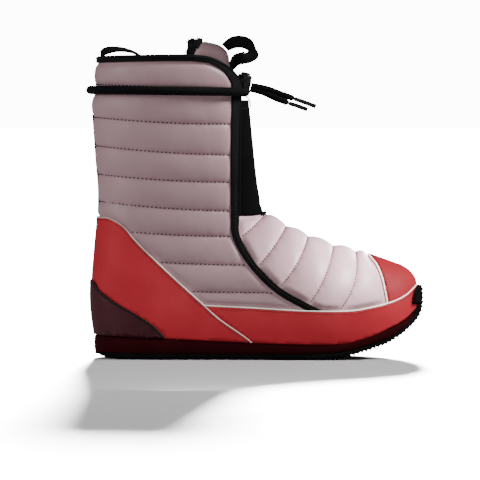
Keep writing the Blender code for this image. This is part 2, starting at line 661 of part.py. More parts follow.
def add_cut(piece, mesh, cutters, operation):
    """Adds a Boolean with a wire cutter to a piece."""
    cutter = bpy.data.objects.new(mesh.name, mesh)
    cutter.display_type = "WIRE"
    cutter.hide_render = True
    cutters.objects.link(cutter)
    cut = piece.modifiers.new("cut", "BOOLEAN")
    cut.operation = operation
    cut.object = cutter


def tread_line():
    """Underside of the sole in the side view, from the back of the heel to the top of the bumper."""
    curve = smooth_curve(GROUND_BACK, 2) + smooth_curve(GROUND_TOE, 2)
    lengths = [0.0]
    for a, b in zip(curve, curve[1:]):
        lengths.append(lengths[-1] + (b - a).length)

    def at(distance):
        for i in range(len(curve) - 1):
            if distance <= lengths[i + 1]:
                run = curve[i + 1] - curve[i]
                share = (distance - lengths[i]) / (lengths[i + 1] - lengths[i])
                return curve[i] + run * share, Vector((-run.y, run.x)).normalized()
        return curve[-1], Vector((-1, 0))

    heel = [side_point(x, 0).x for x in HEEL_PAD]
    forefoot = [side_point(x, 0).x for x in FOREFOOT_PAD]
    toe_end = side_point(0.985, 0).x
    points = []
    grooves = []
    distance = LUG_PITCH
    while distance < lengths[-1]:
        place, _ = at(distance)
        clear = place.x > heel[1] and place.x < toe_end and not forefoot[0] < place.x < forefoot[1]
        if clear:
            grooves.append(distance)
        distance += LUG_PITCH
    marks = [(length, curve[i]) for i, length in enumerate(lengths)
             if all(abs(length - groove) > LUG_GROOVE for groove in grooves)]
    for groove in grooves:
        corners = []
        for side, depth in ((-0.5, 0), (-0.35, LUG_DEPTH), (0.35, LUG_DEPTH), (0.5, 0)):
            place, normal = at(groove + side * LUG_GROOVE)
            corners.append((groove + side * LUG_GROOVE, place + normal * depth))
        marks += corners
    for _, point in sorted(marks, key=lambda mark: mark[0]):
        if not points or (point - points[-1]).length > 1e-5:
            points.append(point)
    return points


def build_sole(areas, colours, collection, cutters):
    """Outsole with lugs and toe bumper, midsole and insole."""
    edge = sole_edge(areas)
    width = BALL_WIDTH
    outer = [place + out * lookup(SOLE_MARGIN, (place.x + HEEL_BACK) / LENGTH) for place, out in edge]
    inner = [place - out * INSOLE_MARGIN for place, out in edge]
    split = smooth_curve(SOLE_SPLIT, 2)
    feather = smooth_curve(FEATHER, 2)
    tread = tread_line()
    bumper_back = tread[-1] - Vector((TOE_BUMPER * 3, 0))
    bumper_foot = Vector((bumper_back.x, split[-1].y + CLEARANCE))
    split_low = [point for point in reversed(split) if point.x > tread[0].x]
    outsole = prism(tread + [bumper_back, bumper_foot] + split_low, "Y", -width, width)
    plan = prism(outer, "Z", -0.01, INSTEP_HEIGHT)
    piece = cut_piece("outsole", outsole, plan, colours["rubber"], collection, cutters)
    toe = last_mesh()
    shift(toe, SKIN + 2 * CLEARANCE)
    trim(toe, lambda place: place.x - side_point(0.90, 0).x)
    trim(toe, lambda place: place.z - (split[-1].y - CLEARANCE))
    shell = bpy.data.meshes.new("toe_clearance")
    extrude_inwards(toe, 4 * TOE_BUMPER)
    toe.to_mesh(shell)
    toe.free()
    add_cut(piece, shell, cutters, "DIFFERENCE")
    toe_line = LAST[0].centre * BALL_WIDTH
    arch = [Vector((toe_line + math.cos(math.pi * i / 12) * BUMPER_HALF_WIDTH,
                    split[-1].y + math.sin(math.pi * i / 12) * (tread[-1].y - split[-1].y))) for i in range(13)]
    floor = [Vector((-width, split[-1].y)), Vector((-width, -width)), Vector((width, -width)),
             Vector((width, split[-1].y))]
    front = prism(arch + floor, "X", -LENGTH, LENGTH)
    front_mesh = bpy.data.meshes.new("toe_arch")
    front.to_mesh(front_mesh)
    front.free()
    add_cut(piece, front_mesh, cutters, "INTERSECT")

    low_side = offset_curve(split, CLEARANCE)[:-1]
    high_side = [point for point in reversed(feather) if point.y < low_side[-1].y]
    midsole = prism(low_side + high_side, "Y", -width, width)
    plan = prism(outer, "Z", -0.01, INSTEP_HEIGHT)
    cut_piece("midsole", midsole, plan, colours["midsole"], collection, cutters)

    front = side_point(0.955, 0).x
    bed = [point + Vector((0, CLEARANCE)) for point in feather if point.x < front]
    top = [point + Vector((0, INSOLE)) for point in reversed(bed)]
    insole = prism(bed + top, "Y", -width, width)
    plan = prism(inner, "Z", -0.01, INSTEP_HEIGHT)
    cut_piece("insole", insole, plan, colours["black"], collection, cutters)


def extrude_inwards(bm, depth):
    """Closes an open surface into a solid that reaches a depth below it."""
    bm.normal_update()
    inward = {vert: vert.co - vert.normal * depth for vert in bm.verts}
    outer_faces = list(bm.faces)
    made = bmesh.ops.extrude_face_region(bm, geom=outer_faces, use_keep_orig=True)
    fresh = [item for item in made["geom"] if isinstance(item, bmesh.types.BMVert)]
    targets = {tuple(vert.co): place for vert, place in inward.items()}
    for vert in fresh:
        vert.co = targets[tuple(vert.co)]
    bmesh.ops.recalc_face_normals(bm, faces=bm.faces)


def build_tongue_layer(name, extra, thickness, top, tuft, finish, collection):
    """Curved layer inside the front of the shaft, cut to an outline at its top."""
    columns = AROUND // 2
    rows = TONGUE_RINGS
    bm = bmesh.new()
    bmesh.ops.create_grid(bm, x_segments=columns, y_segments=rows, size=1)
    for vert in bm.verts:
        vert.co.z = 0
    start, end = SHAFT_FOOT + 1, len(LAST) - 1
    for vert in bm.verts:
        t = start + (end - start) * (1 - ((1 - vert.co.y) / 2) ** TOP_CROWDING)
        theta = -vert.co.x * TONGUE_HALF_ANGLE
        place = ring_point(t, theta)
        beside = ring_point(t, theta + 0.02) - ring_point(t, theta - 0.02)
        above = ring_point(t + 0.02, theta) - ring_point(t - 0.02, theta)
        normal = beside.cross(above).normalized()
        if normal.x * math.cos(theta) < 0:
            normal.negate()
        level = 1 + (place.z - INSTEP_HEIGHT) / (COLLAR_HEIGHT - INSTEP_HEIGHT)
        vert.co = place - normal * lookup(TONGUE_LEAN, level)
    bmesh.ops.recalc_face_normals(bm, faces=bm.faces)
    if sum(face.normal.x for face in bm.faces) < 0:
        bmesh.ops.reverse_faces(bm, faces=bm.faces)
    bmesh.ops.triangulate(bm, faces=bm.faces)
    keep_outwards(bm)
    shift(bm, -extra)
    outline = region(smooth_curve(top), [Vector((FAR, -FAR)), Vector((-FAR, -FAR))])
    trim(bm, lambda place: outline(place) - tuft * abs(math.sin(place.y * math.pi / TUFT_PITCH)))
    return add_surface(name, bm, finish, collection, thickness, -1)


def build_ribbon(name, route, width, thickness, finish, collection):
    """Webbing along a route, as one thick strip."""
    centres = [boot_point(bend.x, bend.y, bend.level) for bend in route]
    sides = [Vector(bend.across).normalized() for bend in route]
    count = (len(route) - 1) * OUTLINE_STEPS
    bm = bmesh.new()
    bmesh.ops.create_grid(bm, x_segments=count, y_segments=1, size=1)
    for vert in bm.verts:
        t = (vert.co.x + 1) / 2 * (len(route) - 1)
        side = spline(sides, t).normalized()
        vert.co = spline(centres, t) + side * vert.co.y * width / 2
    bmesh.ops.triangulate(bm, faces=bm.faces)
    return add_surface(name, bm, finish, collection, thickness, 0)


def build_tube(name, points, radius, finish, collection):
    """Round cord along a smooth curve through its points."""
    curve = bpy.data.curves.new(name, "CURVE")
    curve.dimensions = "3D"
    curve.bevel_depth = radius
    curve.bevel_resolution = 2
    curve.use_fill_caps = True
    line = curve.splines.new("POLY")
    line.points.add(len(points) - 1)
    for point, place in zip(line.points, points):
        point.co = (*place, 1)
    piece = bpy.data.objects.new(name, curve)
    collection.objects.link(piece)
    curve.materials.append(finish)
    return piece


def through(points, count):
    """Evenly numbered points of a smooth curve through the given ones."""
    places = [Vector(point) for point in points]
    return [spline(places, i * (len(places) - 1) / (count - 1)) for i in range(count)]


def boot_point(x, y, level):
    """Place of a cord or webbing, with x and level as in the tables and y as a share of BALL_WIDTH."""
    place = side_point(x, level)
    return Vector((place.x, y * BALL_WIDTH, place.y))


def cord_loop():
    """Centre line of the drawcord, from the lock round the back of the shaft and home."""
    def side(sign):
        places = []
        for degrees in CORD_ANGLES:
            theta = math.radians(degrees) * sign
            over = PIPING + 2 * CLEARANCE if degrees < PIPING_ANGLE else 0
            place = ring_point(CORD_RING, theta)
            near = ring_point(CORD_RING, theta + 0.02) - ring_point(CORD_RING, theta - 0.02)
            out = Vector((near.y, -near.x, 0)).normalized()
            if out.x * math.cos(theta) < 0 or (abs(degrees - 90) < 8 and out.y * sign > 0):
                out.negate()
            places.append(place + out * (CORD_RADIUS + CLEARANCE * 2 + over))
        return places

    start = boot_point(LOCK_X, 0, CORD_LEVEL)
    front = [start + Vector((0, y, 0)) for y in (LOCK_RADIUS + 2 * CLEARANCE, CORD_GATE * BALL_WIDTH)]
    outer = [place * Vector((1, -1, 1)) for place in front]
    return outer + side(1) + list(reversed(side(-1)[:-1])) + list(reversed(front))


def build_cords(colours, collection):
    """Drawcord, cord lock with its keeper, and the two free ends with their tips."""
    build_tube("drawcord", through(cord_loop(), 38), CORD_RADIUS, colours["cord"], collection)

    bm = bmesh.new()
    bmesh.ops.create_cone(bm, cap_ends=True, segments=20, radius1=LOCK_RADIUS, radius2=LOCK_RADIUS * 0.86,
                          depth=LOCK_HEIGHT)
    rim = [edge for edge in bm.edges if len({vert.co.z for vert in edge.verts}) == 1]
    bmesh.ops.bevel(bm, geom=rim, offset=LOCK_RADIUS * 0.2, segments=2, profile=0.5, affect="EDGES")
    mesh = bpy.data.meshes.new("cord_lock")
    bm.to_mesh(mesh)
    bm.free()
    lock = add_object("cord_lock", mesh, colours["plastic"], collection)
    lock.location = boot_point(LOCK_X, 0, CORD_LEVEL) + Vector((0, 0, LOCK_HEIGHT * 0.32))
    lock.rotation_euler = (0, LOCK_TILT, 0)

    for name, places in CORD_ENDS.items():
        route = [boot_point(*place) for place in places]
        run = (route[4] - route[3]).normalized()
        cord = through(route[:4], 12)
        tip = [route[3] + run * CLEARANCE, *route[4:]]
        build_tube(f"cord_end_{name}", cord, CORD_END_RADIUS, colours["cord"], collection)
        build_tube(f"cord_tip_{name}", through(tip, 4), CORD_TIP_RADIUS, colours["plastic"], collection)


def build_webbing(colours, collection):
    """Pull loops of the tongue and of the heel, and the keeper of the cord lock."""
    build_ribbon("front_pull_loop", FRONT_LOOP, FRONT_LOOP_WIDTH, WEBBING, colours["webbing"], collection)
    build_ribbon("back_pull_loop", BACK_LOOP, BACK_LOOP_WIDTH, WEBBING, colours["webbing"], collection)
    build_ribbon("cord_keeper", KEEPER, KEEPER_WIDTH, KEEPER_WEBBING, colours["webbing"], collection)


def main():
    for leftover in list(bpy.data.objects):
        bpy.data.objects.remove(leftover, do_unlink=True)
    boot = bpy.data.collections.new("apres_ski_boot")
    cutters = bpy.data.collections.new("cutters")
    for collection in (boot, cutters):
        bpy.context.scene.collection.children.link(collection)
    colours = {
        "quilt": material("pale_pink_nylon", (0.56, 0.45, 0.50), 0.45),
        "red": material("coral_red_leather", (0.72, 0.10, 0.10), 0.40),
        "maroon": material("maroon_leather", (0.055, 0.012, 0.015), 0.50),
        "midsole": material("maroon_foam", (0.060, 0.002, 0.010), 0.55),
        "rubber": material("black_rubber", (0.012, 0.012, 0.012), 0.75),
        "black": material("black_binding", (0.010, 0.011, 0.012), 0.60),
        "elastic": material("black_elastic", (0.012, 0.012, 0.013), 0.80),
        "webbing": material("black_webbing", (0.009, 0.009, 0.010), 0.80),
        "cord": material("black_cord", (0.010, 0.010, 0.012), 0.75),
        "plastic": material("black_plastic", (0.012, 0.012, 0.012), 0.35),
        "fur": material("black_fur", (0.010, 0.011, 0.012), 0.95),
    }
    areas = regions()
    build_sole(areas, colours, boot, cutters)
    build_upper(areas, colours["quilt"], boot)
    build_overlays(areas, colours, boot)
    build_tongue_layer("tongue", 0.0, TONGUE, TONGUE_TOP, 0.0, colours["quilt"], boot)
    build_tongue_layer("tongue_fur", TONGUE + 2 * CLEARANCE, FUR, FUR_TOP, TUFT, colours["fur"], boot)
    build_cords(colours, boot)
    build_webbing(colours, boot)


main()
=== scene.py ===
"""Looks of a quilted apres ski boot for the right foot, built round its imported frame.

Metres: +X runs to the toe, +Y to the inner side of the foot and +Z up. Every sewn piece is cut
from the last, a fan of rings that starts at the tip of the toe and ends at the collar. Outlines
are drawn in the side view as (x, level): x is a share of the length from the back of the heel,
and a level is 0 at the floor, 1 at the instep and 2 at the collar.
"""

import json
import logging
import math
from collections.abc import Callable, Sequence
from dataclasses import dataclass
from enum import Enum

import bmesh
import bpy
import numpy as np
from mathutils import Matrix, Vector

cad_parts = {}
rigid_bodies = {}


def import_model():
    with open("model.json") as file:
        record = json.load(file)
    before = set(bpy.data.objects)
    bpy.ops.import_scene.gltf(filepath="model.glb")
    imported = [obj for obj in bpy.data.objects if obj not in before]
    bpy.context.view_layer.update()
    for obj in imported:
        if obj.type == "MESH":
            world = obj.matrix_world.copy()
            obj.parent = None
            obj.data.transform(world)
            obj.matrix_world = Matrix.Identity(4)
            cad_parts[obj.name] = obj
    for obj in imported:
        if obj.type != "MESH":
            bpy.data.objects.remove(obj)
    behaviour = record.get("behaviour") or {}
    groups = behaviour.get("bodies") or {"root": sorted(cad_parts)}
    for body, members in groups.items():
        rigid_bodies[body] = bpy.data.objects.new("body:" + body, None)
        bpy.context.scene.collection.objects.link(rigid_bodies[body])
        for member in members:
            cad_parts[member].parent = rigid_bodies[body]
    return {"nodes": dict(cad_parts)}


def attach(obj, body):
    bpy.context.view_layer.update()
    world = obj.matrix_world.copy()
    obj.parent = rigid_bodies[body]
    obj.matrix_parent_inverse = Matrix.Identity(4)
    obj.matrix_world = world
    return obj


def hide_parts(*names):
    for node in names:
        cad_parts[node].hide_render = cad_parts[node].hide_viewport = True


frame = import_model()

logger = logging.getLogger("apres_ski_boot")
Array = np.ndarray
Field = Callable[[Array], Array]
FAR = 0.5
CLEARANCE = 0.0003
BODY = "root"
SHARP_ANGLE = math.radians(50)


def spline(values: Array, t: Array) -> Array:
    """Smooth curve through evenly spaced values.

    Args:
        values: The values, one row each.
        t: Positions along them, from 0 to the number of values less 1.

    Returns:
        The curve's values at the positions.
    """
    last = len(values) - 1
    i = np.clip(np.floor(t).astype(int), 0, last - 1)
    u = (t - i).reshape(t.shape + (1,) * (values.ndim - 1))
    a, b, c, d = (values[np.clip(i + k, 0, last)] for k in (-1, 0, 1, 2))
    bend = (2 * a - 5 * b + 4 * c - d) * u + (3 * b - a - 3 * c + d) * u * u
    return b + 0.5 * u * ((c - a) + bend)


def smooth_step(values: Array, low: float, high: float) -> Array:
    """Share that rises smoothly from 0 at low to 1 at high."""
    share = np.clip((values - low) / (high - low), 0, 1)
    return share * share * (3 - 2 * share)


def ripple(along: Array, pitch: float, seed: int) -> Array:
    """Smooth uneven wave, from about -1 to 1, that is the same each run.

    Args:
        along: Distances in metres.
        pitch: Mean distance between crests.
        seed: Number of the wave.

    Returns:
        The wave's values.
    """
    source = np.random.default_rng(seed)
    total = np.zeros_like(along)
    for rate in (0.61, 0.83, 1.0, 1.27, 1.59):
        total += np.sin(along * rate * 2 * math.pi / pitch + source.uniform(0, 2 * math.pi))
    return total / 2.6


def evenly(points: Array, pitch: float, closed: bool = False) -> Array:
    """Points of a line spaced evenly along it.

    Args:
        points: The line's points, with anything else that each carries after its place.
        pitch: Distance between the new points.
        closed: Whether the last point joins the first.

    Returns:
        The new points.
    """
    if closed:
        points = np.vstack([points, points[:1]])
    travel = travelled(points[:, :3])
    count = max(int(round(travel[-1] / pitch)), 2)
    marks = np.linspace(0, travel[-1], count + 1)
    if closed:
        marks = marks[:-1]
    return np.stack([np.interp(marks, travel, points[:, k]) for k in range(points.shape[1])],
                    axis=1)


def travelled(points: Array) -> Array:
    """Distances from a line's start to each of its points."""
    return np.concatenate([[0], np.cumsum(np.linalg.norm(np.diff(points, axis=0), axis=1))])


def soften(points: Array, rounds: int, closed: bool = False) -> Array:
    """Line whose points are averaged with their neighbours a number of times."""
    made = points.copy()
    for _ in range(rounds):
        if closed:
            made = (np.roll(made, 1, 0) + 2 * made + np.roll(made, -1, 0)) / 4
        else:
            made[1:-1] = (made[:-2] + 2 * made[1:-1] + made[2:]) / 4
    return made


@dataclass(frozen=True)
class Last:
    """Form of the boot, as rings of front, back, widths, centre and the squareness of both ends."""

    length: float = 0.280
    heel_back: float = 0.040
    instep_height: float = 0.1225
    collar_height: float = 0.257
    ball_width: float = 0.100
    rings: tuple[tuple[float, ...], ...] = (
        (0.998, 0.400, 0.998, 0.400, 0.000, 0.000, 0.090, 2.0, 2.0),
        (0.991, 0.531, 0.994, 0.245, 0.125, 0.125, 0.090, 2.0, 2.2),
        (0.977, 0.584, 0.982, 0.098, 0.215, 0.215, 0.086, 2.0, 2.3),
        (0.954, 0.624, 0.957, -0.033, 0.300, 0.295, 0.078, 2.0, 2.4),
        (0.920, 0.654, 0.918, -0.114, 0.375, 0.360, 0.064, 2.0, 2.4),
        (0.861, 0.702, 0.850, -0.147, 0.445, 0.430, 0.044, 2.1, 2.5),
        (0.807, 0.735, 0.786, -0.163, 0.485, 0.460, 0.028, 2.1, 2.5),
        (0.739, 0.776, 0.704, -0.163, 0.505, 0.480, 0.014, 2.1, 2.5),
        (0.664, 0.841, 0.600, -0.163, 0.490, 0.455, 0.004, 2.1, 2.5),
        (0.596, 0.914, 0.464, -0.163, 0.450, 0.395, 0.000, 2.1, 2.5),
        (0.536, 1.000, 0.268, -0.163, 0.420, 0.370, 0.000, 2.1, 2.6),
        (0.527, 1.033, 0.089, -0.147, 0.410, 0.385, 0.000, 2.2, 2.8),
        (0.523, 1.056, 0.042, 0.000, 0.400, 0.385, 0.000, 2.2, 2.8),
        (0.521, 1.078, 0.0205, 0.237, 0.395, 0.385, 0.000, 2.2, 2.7),
        (0.520, 1.100, 0.013, 0.449, 0.395, 0.385, 0.000, 2.2, 2.6),
        (0.518, 1.130, 0.021, 0.735, 0.400, 0.390, 0.000, 2.2, 2.5),
        (0.514, 1.175, 0.031, 0.988, 0.410, 0.405, 0.000, 2.2, 2.4),
        (0.509, 1.257, 0.032, 1.167, 0.425, 0.420, 0.000, 2.3, 2.3),
        (0.504, 1.353, 0.026, 1.323, 0.440, 0.440, 0.000, 2.3, 2.3),
        (0.496, 1.524, 0.019, 1.524, 0.460, 0.460, 0.000, 2.3, 2.3),
        (0.487, 1.703, 0.015, 1.688, 0.478, 0.478, 0.000, 2.3, 2.3),
        (0.482, 1.770, 0.020, 1.785, 0.474, 0.474, 0.000, 2.3, 2.3),
        (0.475, 1.851, 0.023, 1.851, 0.480, 0.480, 0.000, 2.3, 2.3),
        (0.466, 2.000, 0.030, 2.000, 0.485, 0.485, 0.000, 2.3, 2.3),
        (0.454, 2.208, 0.036, 2.208, 0.480, 0.480, 0.000, 2.3, 2.3),
    )
    cord_ring: int = 21
    shaft_foot: int = 16

    def height(self, level: Array | float) -> Array:
        """Height over the floor of a level."""
        level = np.asarray(level, float)
        above = self.instep_height + (level - 1) * (self.collar_height - self.instep_height)
        return np.where(level <= 1, level * self.instep_height, above)

    def side(self, x: Array | float, level: Array | float) -> Array:
        """Side-view points (x, z) in metres."""
        along = np.asarray(x, float) * self.length - self.heel_back
        return np.stack([along, self.height(level)], axis=-1)

    def curve(self, pairs: Sequence[tuple[float, float]], steps: int = 8) -> Array:
        """Smooth side-view curve through the pairs of a table."""
        table = np.array(pairs, float)
        points = self.side(table[:, 0], table[:, 1])
        return spline(points, np.linspace(0, len(points) - 1, (len(points) - 1) * steps + 1))

    def place(self, t: Array, theta: Array) -> Array:
        """Points of the form.

        Args:
            t: Ring numbers, fractions included.
            theta: Angles from the front round the outer side, of the same shape.

        Returns:
            The points, in metres.
        """
        columns = np.moveaxis(spline(np.array(self.rings), t), -1, 0)
        (front_x, front_level, back_x, back_level, lateral, medial, centre, front_full,
         back_full) = columns
        front, back = self.side(front_x, front_level), self.side(back_x, back_level)
        c, s = np.cos(theta), np.sin(theta)
        full = np.where(c > 0, front_full, back_full)
        along = np.copysign(np.abs(c) ** (2 / full), c)[..., None]
        across = np.copysign(np.abs(s) ** (2 / full), s) * np.where(s > 0, lateral, medial)
        flat = (front + back) / 2 + (front - back) / 2 * along
        return np.stack([flat[..., 0], (centre - across) * self.ball_width, flat[..., 1]], axis=-1)

    def angles(self, t: Array, columns: int) -> Array:
        """Angles that space a number of columns evenly round each ring."""
        fine = np.linspace(0, 2 * math.pi, 721)
        spots = self.place(np.repeat(t[:, None], len(fine), 1), np.repeat(fine[None], len(t), 0))
        steps = np.linalg.norm(np.diff(spots, axis=1), axis=2) + 1e-9
        made = np.zeros((len(t), columns + 1))
        half = columns // 2
        for row, step in enumerate(steps):
            for first, part in ((0, step[:360]), (1, step[360:])):
                travel = np.concatenate([[0], np.cumsum(part)])
                marks = np.linspace(0, travel[-1], half + 1)
                angle = np.interp(marks, travel, fine[first * 360:first * 360 + 361])
                made[row, first * half:first * half + half + 1] = angle
        return made

    def rows(self, low: float, high: float, pitch: float) -> Array:
        """Ring numbers between two rings, spaced by how far the form travels."""
        fine = np.linspace(low, high, 900)
        travel = np.zeros(899)
        for angle in (0, math.pi / 2, math.pi):
            spots = self.place(fine, np.full(900, angle))
            travel += np.linalg.norm(np.diff(spots, axis=0), axis=1) / 3
        total = np.concatenate([[0], np.cumsum(travel)])
        count = max(int(total[-1] / pitch), 4)
        return np.interp(np.linspace(0, total[-1], count + 1), total, fine)


LAST = Last()


class Outline:
    """Closed side-view outline as a field: the distance to its edge, above 0 inside."""

    def __init__(self, *curves: Array) -> None:
        """Joins the curves, in order, to a closed outline."""
        points = np.vstack(curves)
        ends = np.roll(points, -1, 0)
        keep = np.linalg.norm(ends - points, axis=1) > 1e-7
        self.starts, self.ends = points[keep], ends[keep]

    def __call__(self, places: Array) -> Array:
        """Signed distances of places (x, y, z) in the side view."""
        x, z = places[:, 0], places[:, 2]
        best = np.full(len(x), 1e9)
        inside = np.zeros(len(x), bool)
        for a, b in zip(self.starts, self.ends):
            run = b - a
            t = np.clip(((x - a[0]) * run[0] + (z - a[1]) * run[1]) / (run @ run), 0, 1)
            best = np.minimum(best, (x - a[0] - t * run[0]) ** 2 + (z - a[1] - t * run[1]) ** 2)
            if run[1] != 0:
                crossed = (a[1] > z) != (b[1] > z)
                inside ^= crossed & (x < a[0] + (z - a[1]) / run[1] * run[0])
        return np.where(inside, np.sqrt(best), -np.sqrt(best))


def beyond(area: Field, margin: float) -> Field:
    """Field above 0 more than a margin inside another."""
    return lambda places: area(places) - margin


def outside(area: Field, margin: float) -> Field:
    """Field above 0 more than a margin outside another."""
    return lambda places: -area(places) - margin


def offset_curve(points: Array, distance: float) -> Array:
    """Side-view curve moved to its left."""
    run = np.gradient(points, axis=0)
    run /= np.linalg.norm(run, axis=1)[:, None] + 1e-12
    return points + np.stack([-run[:, 1], run[:, 0]], axis=1) * distance


@dataclass(frozen=True)
class Pattern:
    """Outlines that the sewn pieces share, in the side view."""

    feather: tuple = ((0.000, 0.172), (0.040, 0.162), (0.232, 0.143), (0.506, 0.115),
                      (0.643, 0.106), (0.762, 0.108), (0.820, 0.132), (0.868, 0.168),
                      (0.912, 0.215), (0.954, 0.262), (0.984, 0.318), (0.998, 0.350),
                      (1.006, 0.385), (1.0085, 0.425))
    split: tuple = ((0.000, 0.046), (0.277, 0.043), (0.506, 0.043), (0.700, 0.047), (0.775, 0.060),
                    (0.825, 0.086), (0.868, 0.115), (0.911, 0.152), (0.954, 0.215), (0.987, 0.288),
                    (1.003, 0.325), (1.0105, 0.385))
    heel_wrap: tuple = ((-0.200, 0.978), (0.030, 0.978), (0.065, 0.973), (0.109, 0.916),
                        (0.143, 0.823), (0.207, 0.677), (0.271, 0.540), (0.349, 0.379),
                        (0.400, 0.276), (0.477, 0.154), (0.500, 0.105), (0.530, 0.000))
    counter: tuple = ((-0.200, 0.640), (0.002, 0.540), (0.028, 0.481), (0.079, 0.393),
                      (0.135, 0.320), (0.186, 0.251), (0.212, 0.198), (0.233, 0.144),
                      (0.260, 0.000))
    mudguard: tuple = ((0.250, 0.400), (0.349, 0.375), (0.490, 0.359), (0.643, 0.340),
                       (0.784, 0.337), (0.848, 0.357), (0.906, 0.386), (0.955, 0.430),
                       (0.989, 0.489), (1.030, 0.580))
    toe_cap: tuple = ((0.815, 0.900), (0.852, 0.718), (0.873, 0.659), (0.889, 0.572),
                      (0.899, 0.474), (0.905, 0.386), (0.905, 0.300))
    piping: tuple = ((-0.200, 1.978), (0.027, 1.978), (0.277, 1.984), (0.343, 1.978),
                     (0.376, 1.966), (0.418, 1.918), (0.442, 1.850), (0.448, 1.798), (0.445, 1.400),
                     (0.445, 0.992), (0.446, 0.874), (0.463, 0.776), (0.494, 0.665), (0.539, 0.550),
                     (0.585, 0.463), (0.640, 0.393), (0.690, 0.335), (0.760, 0.250))
    gusset_foot: tuple = ((0.458, 0.988), (0.500, 0.990), (0.536, 1.003), (0.650, 1.060))
    piping_width: float = 0.0055

    def areas(self) -> dict[str, Outline]:
        """Outlines of the pieces by name."""
        low, right = np.array([[-FAR, -FAR]]), np.array([[FAR, -FAR]])
        sky = np.array([[FAR, FAR], [-FAR, FAR]])
        feather, piping = LAST.curve(self.feather), LAST.curve(self.piping)
        foot = LAST.curve(self.gusset_foot)
        mudguard, cap = LAST.curve(self.mudguard), LAST.curve(self.toe_cap)
        foot_height = float(LAST.height(self.gusset_foot[0][1]))
        end = int(np.argmax((piping[:, 0] > 0) & (piping[:, 1] < foot_height)))
        throat = offset_curve(piping[:end], self.piping_width / 2)
        return {
            "above_sole": Outline([[-FAR, feather[0, 1]]], feather, [[feather[-1, 0], FAR]],
                                  sky[1:]),
            "heel_wrap": Outline(LAST.curve(self.heel_wrap), low),
            "counter": Outline(LAST.curve(self.counter), low),
            "mudguard": Outline(mudguard, [[FAR, mudguard[-1, 1]]], right,
                                [[mudguard[0, 0], -FAR]]),
            "toe_cap": Outline(cap, [[FAR, cap[-1, 1]]], [[FAR, cap[0, 1]]]),
            "quarter": Outline(piping, right, low),
            "throat": Outline(throat, foot, [[FAR, foot[-1, 1]]], sky),
        }


PATTERN = Pattern()
AREAS = PATTERN.areas()


